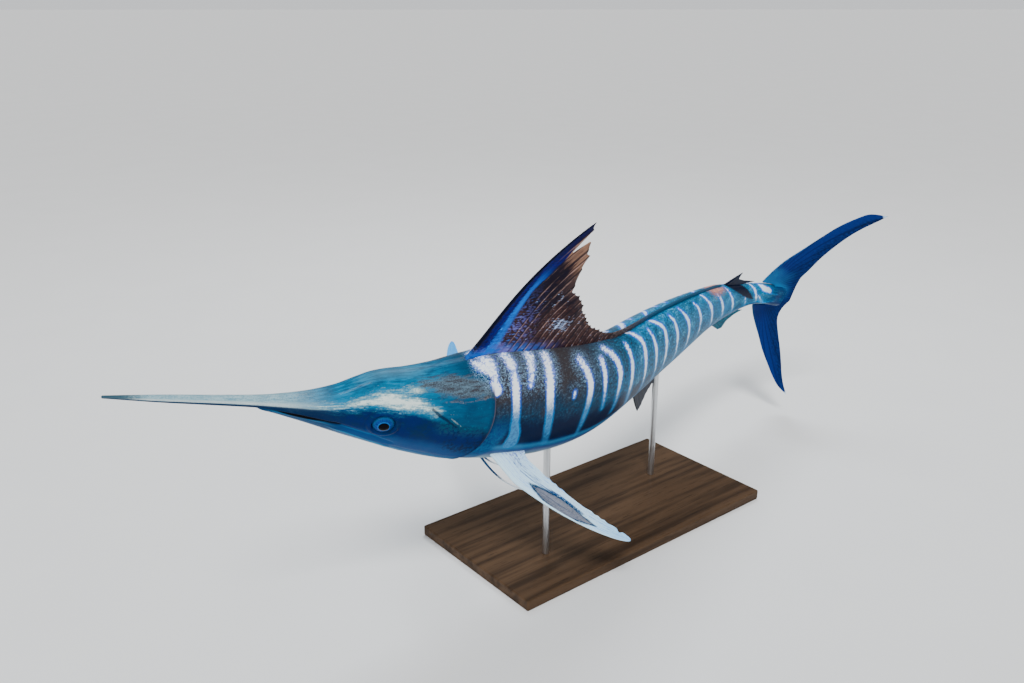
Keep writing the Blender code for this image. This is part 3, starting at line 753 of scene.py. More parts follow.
# Bars and patches of the left side: rows of station, angle in degrees and half width.
BARS = (
    ((0.832, 80, 0.002), (0.850, 70, 0.012), (0.872, 58, 0.008)),
    ((0.850, 86, 0.004), (0.866, 74, 0.012), (0.880, 52, 0.006)),
    ((0.880, 46, 0.010), (0.888, 38, 0.013)),
    ((0.908, 84, 0.008), (0.922, 66, 0.010)),
    ((0.922, 66, 0.003), (0.934, 43, 0.010), (0.960, 2, 0.010), (0.972, -10, 0.014), (0.977, -24, 0.019)),
    ((0.972, 80, 0.009), (0.974, 41, 0.005)),
    ((1.014, 78, 0.008), (1.028, 40, 0.011), (1.058, -4, 0.010), (1.082, -30, 0.009)),
    ((1.104, 30, 0.005), (1.106, 24, 0.004)),
    ((1.112, 66, 0.007), (1.152, 32, 0.010), (1.164, -3, 0.008), (1.178, -30, 0.006)),
    ((1.182, 62, 0.006), (1.196, 42, 0.008), (1.222, 0, 0.004)),
    ((1.200, 76, 0.006), (1.240, 54, 0.009), (1.260, 36, 0.010), (1.284, -14, 0.005)),
    ((1.292, 70, 0.006), (1.316, 37, 0.009), (1.344, 0, 0.008), (1.380, -24, 0.004)),
    ((1.330, 88, 0.005), (1.376, 61, 0.008), (1.396, 36, 0.010), (1.452, -16, 0.005)),
    ((1.430, 72, 0.005), (1.468, 34, 0.009), (1.536, -20, 0.004)),
    ((1.466, 84, 0.005), (1.520, 60, 0.008), (1.544, 32, 0.010), (1.590, -18, 0.005)),
    ((1.580, 74, 0.004), (1.600, 60, 0.007), (1.628, 31, 0.009), (1.690, -28, 0.004)),
    ((1.655, 78, 0.004), (1.712, 38, 0.010), (1.770, -36, 0.004)),
    ((1.770, 70, 0.004), (1.790, 57, 0.007), (1.816, 29, 0.008), (1.856, -34, 0.003)),
    ((1.846, 80, 0.004), (1.912, 33, 0.009), (1.990, -42, 0.004)),
    ((1.950, 74, 0.004), (2.024, 19, 0.008), (2.080, -46, 0.003)),
    ((2.046, 78, 0.004), (2.112, 12, 0.007), (2.148, -46, 0.003)),
    ((2.160, 60, 0.002), (2.166, 48, 0.004)),
    ((2.192, 40, 0.005), (2.244, -45, 0.003)),
    ((2.248, 95, 0.005), (2.276, 40, 0.008), (2.308, -24, 0.005)),
    ((2.312, 80, 0.005), (2.334, 56, 0.013), (2.372, 38, 0.010)),
    ((2.304, 16, 0.002), (2.336, -18, 0.006)),
)
# Painted highlight along the brow over and behind each eye, where the top of the head faces the light: rows
# of station, angle in degrees and half width.
BROW_HIGHLIGHT_LINES = (
    ((0.410, 23, 0.001), (0.470, 22, 0.002), (0.522, 25, 0.004), (0.572, 27, 0.006), (0.612, 31, 0.010)),
    ((0.612, 31, 0.010), (0.640, 34, 0.019), (0.672, 32, 0.020), (0.720, 27, 0.013), (0.764, 19, 0.006)),
    ((0.660, 44, 0.004), (0.700, 50, 0.006), (0.730, 52, 0.003)),
)
NAPE_PATCH = (
    ((0.716, 60, 0.008), (0.760, 54, 0.020), (0.800, 48, 0.026), (0.846, 42, 0.022), (0.880, 36, 0.010)),
)
NAPE_EDGE = (((0.762, 33, 0.002), (0.818, 29, 0.003), (0.852, 30, 0.003), (0.886, 33, 0.002)),)
# Painted shadow of the second dorsal fin, cast over the flanks of the tail root: rows of station, angle in
# degrees and half width.
FIN_SHADOW_LINES = (
    ((2.080, 90, 0.010), (2.130, 78, 0.018), (2.170, 62, 0.020), (2.212, 36, 0.014), (2.274, 2, 0.001)),
)
COVER_FOLD = (((0.752, 22, 0.0016), (0.770, 14, 0.0026), (0.790, 8, 0.0020), (0.816, -1, 0.0006)),)
# Painted highlight streaks on the gill cover, beside its fold and across it: rows of station, angle in
# degrees and half width.
COVER_HIGHLIGHT_LINES = (
    ((0.796, 11, 0.0010), (0.808, 7, 0.0024), (0.824, 2, 0.0012)),
    ((0.774, 17, 0.0006), (0.815, 15, 0.0012), (0.862, 14, 0.0006)),
)
SCAR = (((1.912, 92, 0.006), (1.946, 78, 0.015), (1.990, 74, 0.017), (2.036, 70, 0.006)),)
MARKINGS = {
    "bar": BARS,
    "crest": BROW_HIGHLIGHT_LINES,
    "nape": NAPE_PATCH,
    "nape_edge": NAPE_EDGE,
    "streak": COVER_HIGHLIGHT_LINES,
    "scar": SCAR,
    "smudge": FIN_SHADOW_LINES,
}


@dataclass(frozen=True)
class SkinPiece:
    """The one skin over bill, jaws, head, trunk and tail root."""

    around: int = 184
    edge: float = 0.900
    crease_depth: float = 0.0065
    crease_width: float = 0.0013
    cover_lip: float = 0.0012
    cover_gutter: float = 0.0022
    cover_band: float = 0.006
    fold_depth: float = 0.0030
    fold_width: float = 0.0050
    fold_bank: float = 0.0010
    cheek_bone: float = 0.0030
    cheek_hollow: float = 0.0018
    lip_height: float = 0.0009
    lip_offset: float = 0.004
    pleat_depth: float = 0.0012
    pleats: float = 26.0
    groove_depth: float = 0.0050
    groove_width: float = 0.0042
    groove_bank: float = 0.0012
    socket_radius: float = 0.0272
    socket_depth: float = 0.0150
    socket_rim: float = 0.0022
    socket_moat: float = 0.0016
    nostril_depth: float = 0.0045
    taper_from: float = 2.405
    tail_tip: float = 2.462
    nostrils: tuple = ((0.606, 20.0, 0.0040), (0.615, 22.0, 0.0030))
    nodes: tuple = ("bill", "lower_jaw", "head", "trunk_front", "trunk_mid", "trunk_rear", "tail_base")

    def stations(self) -> Array:
        """Rows of the grid, close together where there is detail.

        Returns:
            Rising stations.
        """
        spans = (
            (PLAN.bill_tip, 0.372, 46),
            (0.372, 0.402, 22),
            (0.402, 0.590, 66),
            (0.590, 0.730, 66),
            (0.730, 0.885, 56),
            (0.885, 0.899, 8),
            (0.899, 0.9012, 4),
            (0.9012, 0.912, 6),
            (0.912, 1.250, 60),
            (1.250, 2.290, 112),
            (2.290, 2.410, 46),
            (2.410, self.tail_tip, 18),
        )
        rows = [np.linspace(a, b, n, endpoint=False) for a, b, n in spans]
        return np.concatenate(rows + [[self.tail_tip]])

    def belly(self, s: Array) -> Array:
        """Depth of the underside: the bill's own, then the lower jaw's, which begins with a blunt round tip.

        Args:
            s: Stations.

        Returns:
            Depths below the spine.
        """
        _top, low, _half = BODY.outline(s)
        bill = np.interp(s, (PLAN.bill_tip, 0.2, 0.32, 0.45), (0.0025, 0.0065, 0.0095, 0.0110))
        share = np.clip((s - (PLAN.jaw_tip - 0.004)) / 0.022, 0, 1)
        return np.where(s < 0.5, bill + (low - bill) * np.sqrt(share) * smooth(share * 1.6), low)

    def mouth_angle(self, s: Array) -> Array:
        """Angle of the line of the mouth on the left side, from its height over the jaw's depth.

        Args:
            s: Stations.

        Returns:
            Angles below the flank.
        """
        share = np.clip((s - PLAN.jaw_tip) / (PLAN.mouth_corner - PLAN.jaw_tip), 0, 1)
        z = PLAN.mouth_at_tip + (PLAN.mouth_at_corner - PLAN.mouth_at_tip) * share**1.2
        return -np.arcsin(np.clip(-z / self.belly(s), 0, 0.98) ** (1 / BODY.BELLY_POWER))

    def cover_relief(self, u: Array, s: Array, angle: Array, fold: Array) -> Array:
        """The raised gill cover with its lip, the gutter behind it and the fold across it.

        Args:
            u: Row stations before the rows follow the gill cover's rim.
            s: Stations.
            angle: Angles.
            fold: Distances from the fold across the cheek.

        Returns:
            Lifts.
        """
        side = np.abs(np.cos(angle))
        gap = s - BODY.gill_edge(angle)
        before = u <= self.edge + 1e-6
        lift = PLAN.gill_lift * smooth((gap + 0.105) / 0.075) * smooth((side - 0.25) / 0.35) * before
        lift -= self.cover_gutter * bell(gap / self.cover_band) * smooth((side - 0.2) / 0.3) * ~before
        lip = bell((gap + 0.007) / self.cover_band)
        lift += self.cover_lip * lip * smooth((side - 0.3) / 0.3) * before
        lift -= self.fold_depth * bell(np.maximum(fold, 0) / self.fold_width)
        return lift + self.fold_bank * bell((fold - 0.013) / 0.006)

    def jaw_relief(self, s: Array, angle: Array) -> Array:
        """Cheek bone, the line of the mouth between two lips, and the pleats of the throat.

        Args:
            s: Stations.
            angle: Angles.

        Returns:
            Lifts.
        """
        low = np.arcsin(np.sin(angle))
        half = BODY.outline(s)[2]
        line = math.radians(-38) - (s - 0.56) * 2.2
        cheek = smooth((s - 0.53) / 0.03) * smooth((0.705 - s) / 0.02)
        lift = cheek * self.cheek_bone * bell((low - line) / 0.15)
        lift -= cheek * self.cheek_hollow * bell((low - line - 0.27) / 0.05)
        jaw = smooth((s - PLAN.jaw_tip - 0.002) / 0.01) * smooth((PLAN.mouth_corner + 0.012 - s) / 0.03)
        off = (low - self.mouth_angle(s)) * np.sqrt(half * np.maximum(self.belly(s), 0.004))
        lips = bell((off - self.lip_offset) / 0.002) + bell((off + self.lip_offset) / 0.002)
        lift += jaw * (self.lip_height * lips - self.crease_depth * bell(off / self.crease_width))
        throat = smooth((s - 0.60) / 0.08) * smooth((0.90 - s) / 0.05) * smooth((-0.55 - low) / 0.3)
        return lift - self.pleat_depth * throat * (0.5 + 0.5 * np.cos((low + 1.57) * self.pleats)) ** 3

    def back_groove(self, s: Array, angle: Array) -> Array:
        """The groove along the back into which the dorsal fin folds, with its two low banks.

        Args:
            s: Stations.
            angle: Angles.

        Returns:
            Lifts.
        """
        across = np.cos(angle) * BODY.outline(s)[2]
        groove = smooth((s - 1.225) / 0.05) * smooth((2.045 - s) / 0.03) * (np.sin(angle) > 0.5)
        banks = self.groove_bank * bell((np.abs(across) - 0.0125) / 0.005)
        return groove * (banks - self.groove_depth * bell(across / self.groove_width))

    def keels(self, s: Array, angle: Array) -> Array:
        """The two keels on each side of the tail root: sharp ridges that swell and fade along it.

        Args:
            s: Stations.
            angle: Angles.

        Returns:
            Lifts.
        """
        length = np.clip((s - PLAN.keel_from) / (PLAN.keel_to + 0.014 - PLAN.keel_from), 0, 1)
        swell = np.sin(math.pi * length**0.8) ** 0.8
        low = np.arcsin(np.sin(angle))
        sharp = np.exp(-np.abs((np.abs(low) - PLAN.keel_angle * (1.12 - 0.3 * length)) / 0.085) ** 1.25)
        return PLAN.keel_height * swell * sharp

    def cheek_pits(self, s: Array, angle: Array) -> Array:
        """Eye sockets with their rims, and the two nostrils on each side.

        Args:
            s: Stations.
            angle: Angles.

        Returns:
            Lifts.
        """
        lift = np.zeros(s.shape)
        near = (s > 0.55) & (s < 0.76)
        points = BODY.skin(s[near], angle[near])
        own = np.zeros(points.shape[0])
        for side in Side:
            centre, out, along, around = BODY.frame_at(PLAN.eye_station, side.turned(PLAN.eye_angle))
            offset = points - centre
            flat = np.hypot(offset @ along, offset @ around / Eye.FLATNESS)
            flat += 10.0 * (np.abs(offset @ out) > 0.03)
            own += self.socket_rim * bell((flat - 0.0305) / 0.0055)
            own -= self.socket_moat * bell((flat - 0.0400) / 0.0040)
            own -= self.socket_depth * smooth((self.socket_radius - flat) / 0.0030)
            for station, degrees, radius in self.nostrils:
                pit = BODY.skin(station, side.turned(math.radians(degrees)))
                away = np.linalg.norm(points - pit, axis=1)
                own -= self.nostril_depth * np.exp(-((away / radius) ** 3))
        lift[near] = own
        return lift

    def surface(self, s: Array, angle: Array, lift: Array) -> Array:
        """Skin points: the body's rings with the jaw's own underside and the tail root's taper.

        Args:
            s: Stations.
            angle: Angles.
            lift: Lifts.

        Returns:
            Points in the fish's frame.
        """
        top, _low, half = BODY.outline(s)
        taper = smooth((self.tail_tip + 0.002 - s) / (self.tail_tip - self.taper_from))
        half = half * np.where(s > self.taper_from, 0.10 + 0.90 * taper, 1.0)
        return BODY.ring(s, angle, (top, self.belly(s), half), lift)

    def build(self, material: bpy.types.Material) -> Piece:
        """Makes the piece on a grid of stations and angles, with its markings as attributes.

        Args:
            material: The skin's material.

        Returns:
            The piece.
        """
        rows = self.stations()
        u, angle = np.meshgrid(rows, np.arange(self.around) * 2 * math.pi / self.around, indexing="ij")
        pull = np.where(u <= self.edge, smooth((u - 0.60) / 0.20), smooth((1.06 - u) / 0.15))
        s = u + (BODY.gill_edge(angle) - self.edge) * pull
        side_of = np.where(np.cos(angle) >= 0, Side.LEFT.value, Side.RIGHT.value).ravel()
        plain = BODY.skin(s, angle).reshape(-1, 3)
        fold = Marks(COVER_FOLD).distance(plain, side_of)
        lift = self.cover_relief(u, s, angle, fold.reshape(s.shape)) + self.jaw_relief(s, angle)
        lift += self.back_groove(s, angle) + self.keels(s, angle) + self.cheek_pits(s, angle)
        points = self.surface(s, angle, lift)
        flat = points.reshape(-1, 3)
        count = len(flat)
        ends = [points[0].mean(0) - SPINE.at(rows[0], SPINE.along) * 0.002, points[-1].mean(0)]
        faces = [
            grid_faces(len(rows), self.around, True),
            pole_faces(count, 0, self.around, False),
            pole_faces(count + 1, count - self.around, self.around, True),
        ]
        low = np.arcsin(np.sin(angle))
        values = {"station": s, "level": low, "gill": s - BODY.gill_edge(angle), "fold": fold}
        values |= {name: Marks(lines).distance(plain, side_of) for name, lines in MARKINGS.items()}
        values["mouth"] = (low - self.mouth_angle(s)) * 0.03 + 1.0 * (s > PLAN.mouth_corner + 0.01)
        values = {name: np.append(value, [value.flat[0], value.flat[-1]]) for name, value in values.items()}
        piece = Piece("skin", np.concatenate([flat, ends]), faces).mark(values)
        return piece.finish(material, "skin", *self.nodes)


def sheet_fin(
    name: str, middle: Array, normal: Array, half: Array, material: bpy.types.Material, **values: Array
) -> Piece:
    """A thin closed fin: a grid of middle points, moved across the sheet by half its thickness either way.

    Args:
        name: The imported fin's name.
        middle: Grid of points.
        normal: Directions across the sheet, or one for all.
        half: Half thicknesses.
        material: Its material.
        **values: Attributes on the grid.

    Returns:
        The piece.
    """
    rows, columns = middle.shape[:2]
    count = rows * columns
    across = normal * half[..., None]
    points = np.concatenate([(middle + across).reshape(-1, 3), (middle - across).reshape(-1, 3)])
    order = np.arange(count).reshape(rows, columns)
    a = np.concatenate([order[0], order[1:, -1], order[-1, -2::-1], order[-2:0:-1, 0]])
    b = np.roll(a, -1)
    faces = grid_faces(rows, columns, False)
    piece = Piece(
        name + "_fine",
        points,
        [faces, (faces + count)[:, ::-1], np.stack([b, a, a + count, b + count], 1)],
    )
    piece.mark({key: np.tile(np.broadcast_to(value, half.shape).ravel(), 2) for key, value in values.items()})
    return piece.finish(material, "fin", name)


@dataclass(frozen=True)
class MedianFin:
    """A fin on the middle plane, made of rays with membrane between them.

    Its rays are a table of (root station, end station, height).
    """

    name: str
    rays: tuple
    spacing: float
    below: bool = False
    rows: int = 40
    per_ray: int = 6
    half_root: float = 0.0030
    half_edge: float = 0.0008
    ridge: float = 0.0008
    bow: float = 0.12
    front_thick: float = 1.6
    fray: float = 0.0
    sway: float = 0.0
    sunk: float = 0.004

    def build(self, material: bpy.types.Material) -> Piece:
        """Makes the fin: each ray bows back from its root to its end, and each is a ridge in the sheet.

        Args:
            material: Its material.

        Returns:
            The piece.
        """
        table = np.array(self.rays)
        count = max(4, int(round((table[-1, 0] - table[0, 0]) / self.spacing)))
        columns = count * self.per_ray + 1
        root = np.linspace(table[0, 0], table[-1, 0], columns)
        end = np.interp(root, table[:, 0], table[:, 1])
        height = np.interp(root, table[:, 0], table[:, 2])
        ray = np.arange(columns) / self.per_ray
        ridge = bell((ray - np.round(ray)) / 0.16)
        rng = np.random.default_rng(len(self.name))
        worn = np.interp(ray, np.arange(count + 1), rng.uniform(0, 1, count + 1))
        cut = self.fray * (0.6 * worn + 0.5 * (1 - ridge)) * smooth(height / 0.05)
        share = np.linspace(0, 1, self.rows + 1)[:, None]
        reach = share * (1 - cut / np.maximum(height, 0.01))
        s = root + (end - root) * (reach - self.bow * reach**1.6 * (1 - reach))
        top, low, _half = BODY.outline(s)
        sign = -1 if self.below else 1
        edge = low if self.below else top
        level = sign * (edge - self.sunk + (height + self.sunk) * reach)
        wave = np.sin(ray * 0.9 + share * 2.0) * 0.6 + np.sin(ray * 0.37 + 1.3 + share)
        middle = SPINE.place(s, self.sway * wave * share * smooth(ray / 4), level)
        body = self.half_root + (self.half_edge - self.half_root) * share**0.8
        front = 1 + (self.front_thick - 1) * bell(ray / 1.1)
        half = body * front + self.ridge * ridge * (1 - 0.6 * share)
        half = half * (1 - 0.55 * smooth((share - 0.96) / 0.04))
        lead = np.interp(sign * level, sign * level[:, 0], s[:, 0])
        across = SPINE.at(s, SPINE.right)
        values = {"out": share, "ray": ray, "height": level - sign * edge, "back": s - lead}
        return sheet_fin(self.name, middle, across, half, material, **values)


@dataclass(frozen=True)
class TailLobe:
    """One lobe of the tail fin, between tables of (station behind the root, height) of its two edges."""

    name: str
    side: int
    front: tuple
    rear: tuple
    rows: int = 110
    columns: int = 56
    fan_rays: float = 86.0
    fan_curl: float = 40.0
    fan_hub: float = 0.035
    ridge: float = 0.0006
    edge_thick: float = 0.0008
    blade_thick: float = 0.0034
    root_thick: float = 0.016
    root_reach: float = 0.030
    root_height: float = 0.044
    sunk: float = 0.0015

    def build(self, material: bpy.types.Material) -> Piece:
        """Makes the lobe: points between both edges, with rays that fan out from the root as ridges.

        Args:
            material: Its material.

        Returns:
            The piece.
        """
        u = np.linspace(0, 1, self.rows)
        v = np.linspace(0, 1, self.columns)
        knots = np.linspace(0, 1, len(self.front))
        edges = [
            [monotone(knots, np.array(edge)[:, k], u)[:, None] for edge in (self.front, self.rear)]
            for k in (0, 1)
        ]
        ds, h = (front * (1 - v) + rear * v for front, rear in edges)
        u = u[:, None]
        fan = np.arctan2(h, ds + self.fan_hub) * self.fan_rays + ds * self.fan_curl
        ridge = (0.5 + 0.5 * np.cos(fan)) ** 3
        swell = np.sqrt(np.clip(1 - (h / self.root_height) ** 2, 0, 1))
        root = bell(np.maximum(ds, 0) / self.root_reach) * self.root_thick * swell
        blade = self.edge_thick + self.blade_thick * (1 - v) ** 0.8 * (1 - 0.75 * u)
        half = np.maximum(root, blade) + self.ridge * ridge * (1 - v) ** 0.3 * (1 - u * 0.7)
        half = half * (1 - 0.5 * smooth((v - 0.95) / 0.05)) * np.where(v < 0.02, 0.5, 1.0)
        s = PLAN.tail_end + ds
        middle = SPINE.place(s, 0.0, self.side * (h - self.sunk))
        values = {"out": u, "chord": v, "fan": fan, "height": h * self.side}
        return sheet_fin(self.name, middle, SPINE.at(s, SPINE.right), half, material, **values)


@dataclass(frozen=True)
class PectoralFin:
    """A long stiff blade behind the gill cover, made of rays in thick skin."""

    name: str
    side: Side
    tip: tuple
    root: tuple = (0.938, 1.028)
    angle: float = math.radians(-46.0)
    sweep: float = 0.0207
    camber: float = 0.0067
    chord: float = 0.0770
    rays: int = 17
    sunk: float = 0.012
    rows: int = 130
    columns: int = 103
    ridge: float = 0.0006
    nick: float = 0.0060
    nick_at: float = 0.90
    scallop: float = 0.0022
    thin: float = 0.0008
    thick_root: float = 0.0062
    thick_tip: float = 0.0012
    least_width: float = 0.004

    def build(self, material: bpy.types.Material) -> Piece:
        """Makes the fin: a bowed blade from the root on the skin to the tip, with a thick round front edge.

        Args:
            material: Its material.

        Returns:
            The piece.
        """
        side = self.side.value
        angle = self.side.turned(self.angle)
        u = np.linspace(0, 1, self.rows)[:, None] ** 0.93
        v = np.linspace(0, 1, self.columns)
        root = BODY.skin(self.root[0] + (self.root[1] - self.root[0]) * v, angle - side * 0.10 * (v - 0.4))
        mid = sum(self.root) / 2
        hub = BODY.skin(mid, angle)
        way = unit(hub - SPINE.place(mid, 0.0, -0.02))
        station, out, up = self.tip
        end = SPINE.place(station, 0.0, up) + SPINE.at(station, SPINE.right) * side * out
        length = np.linalg.norm(end - hub)
        span = (end - hub) / length
        chord = root[-1] - root[0]
        chord = unit(chord - span * np.dot(chord, span))
        face = np.cross(span, chord)
        face = face * np.sign(face[2])
        width = np.maximum(self.chord * (1 - u) ** 0.44 * (1 - 0.14 * u), self.least_width)
        ray = v * self.rays
        waves = 0.5 + 0.5 * np.sin(u * 60 + 4 * np.sin(u * 17))
        nick = self.nick * bell((u - self.nick_at) / 0.016) * smooth((v - 0.6) / 0.4)
        nick = nick + self.scallop * waves * smooth((v - 0.8) / 0.2) * smooth(u / 0.3)
        arch = 4 * u * (1 - u)
        away = span * (length * u)[..., None]
        blade = hub + away + chord * ((v - 0.5) * width - nick * (v > 0.5) - self.sweep * arch)[..., None]
        blade = blade + face * (self.camber * arch)[..., None]
        start = root - way * self.sunk + away
        middle = start + (blade - start) * smooth(u / 0.16)[..., None]
        front = np.sqrt(np.clip(1 - (2 * v - 0.8) ** 2 * 0.62, 0, 1))
        round_off = np.where(v < 0.4, front, 1 - 0.75 * (v - 0.4) / 0.6)
        ridge = bell((ray - np.round(ray)) / 0.22) * smooth((v - 0.06) / 0.1)
        half = np.maximum(self.thin, (self.thick_root * (1 - u) ** 1.2 + self.thick_tip) * round_off)
        half = (half + self.ridge * ridge * (1 - 0.5 * u)) * np.where(v < 0.01, 0.6, 1.0)
        values = {"out": u, "chord": v, "ray": ray * (1 - 0.35 * u)}
        return sheet_fin(self.name, middle, face, half, material, **values)


@dataclass(frozen=True)
class PelvicFin:
    """A long thin blade under the throat."""

    name: str
    side: Side
    root: float = 0.945
    angle: float = math.radians(-81.0)
    run: float = 0.192
    drop: float = 0.128
    curve: float = 1.74
    spread: float = 0.020
    half_width: float = 0.0042
    half_thick: float = 0.0020
    sunk: float = 0.012
    rows: int = 90
    columns: int = 13

    def build(self, material: bpy.types.Material) -> Piece:
        """Makes the fin: a ribbon that drops by a power curve as it runs back.

        Args:
            material: Its material.

        Returns:
            The piece.
        """
        hub = BODY.skin(self.root, self.side.turned(self.angle))
        down = unit(hub - SPINE.place(self.root, 0.0, 0.0))
        along = SPINE.at(self.root, SPINE.along)
        out = SPINE.at(self.root, SPINE.right) * self.side.value
        u = np.linspace(0, 1, self.rows)[:, None]
        v = np.linspace(-0.5, 0.5, self.columns)
        drop = self.drop * (1 - (1 - u) ** self.curve) - self.sunk
        wide = self.half_width * 2 * (1 - 0.72 * u) * np.where(u < 0.1, 1.3 - 3 * u, 1.0)
        middle = hub + down * (drop - v * wide * 0.8 * u)[..., None]
        middle = middle + along * (self.run * u + v * wide * (1 - 0.6 * u))[..., None]
        middle = middle + out * (self.spread * u)[..., None]
        half = self.half_thick * (1 - 0.45 * u) * (0.6 + 0.4 * np.cos(v * 3.0)) * (1 + 0.12 * np.cos(v * 25))
        return sheet_fin(self.name, middle, out, half, material, out=u)


@dataclass(frozen=True)
class Eye:
    """One eye: a flattened ball with a clear bulge over the iris."""

    FLATNESS = 0.94

    side: Side
    rings: int = 96
    segments: int = 96
    bulge: float = 0.0014

    def build(self, material: bpy.types.Material) -> Piece:
        """Makes the eye on a grid of polar angles and turns.

        Args:
            material: Its material.

        Returns:
            The piece.
        """
        point, out, along, around = BODY.frame_at(PLAN.eye_station, self.side.turned(PLAN.eye_angle))
        centre = point - out * PLAN.eye_depth
        polar = np.linspace(0.0, math.pi, self.rings + 1)[1:-1, None]
        spin = np.arange(self.segments) * 2 * math.pi / self.segments
        swell = self.bulge * np.exp(-((polar / 0.50) ** 4))
        away = (PLAN.eye_thick + swell) * np.cos(polar)
        wide = PLAN.eye_radius * np.sin(polar)
        ahead = (wide * np.cos(spin))[..., None]
        above = (wide * self.FLATNESS * np.sin(spin))[..., None]
        flat = (centre + out * away[..., None] + along * ahead + around * above).reshape(-1, 3)
        ends = [centre + out * (PLAN.eye_thick + self.bulge), centre - out * PLAN.eye_thick]
        count = len(flat)
        faces = [
            grid_faces(self.rings - 1, self.segments, True),
            pole_faces(count, 0, self.segments, False),
            pole_faces(count + 1, count - self.segments, self.segments, True),
        ]
        name = "eye_" + self.side.name.lower()
        piece = Piece(name + "_fine", np.concatenate([flat, ends]), faces)
        tilt = np.append(np.repeat(polar, self.segments), [0, math.pi])
        piece.mark({"tilt": tilt, "spin": np.append(np.tile(spin, len(polar)), [0, 0])})
        return piece.finish(material, "eye", name)


PALE_BLUE = (0.020, 0.160, 0.320)
WHITE = (0.860, 0.920, 0.980)
BLACK = (0.001, 0.001, 0.003)


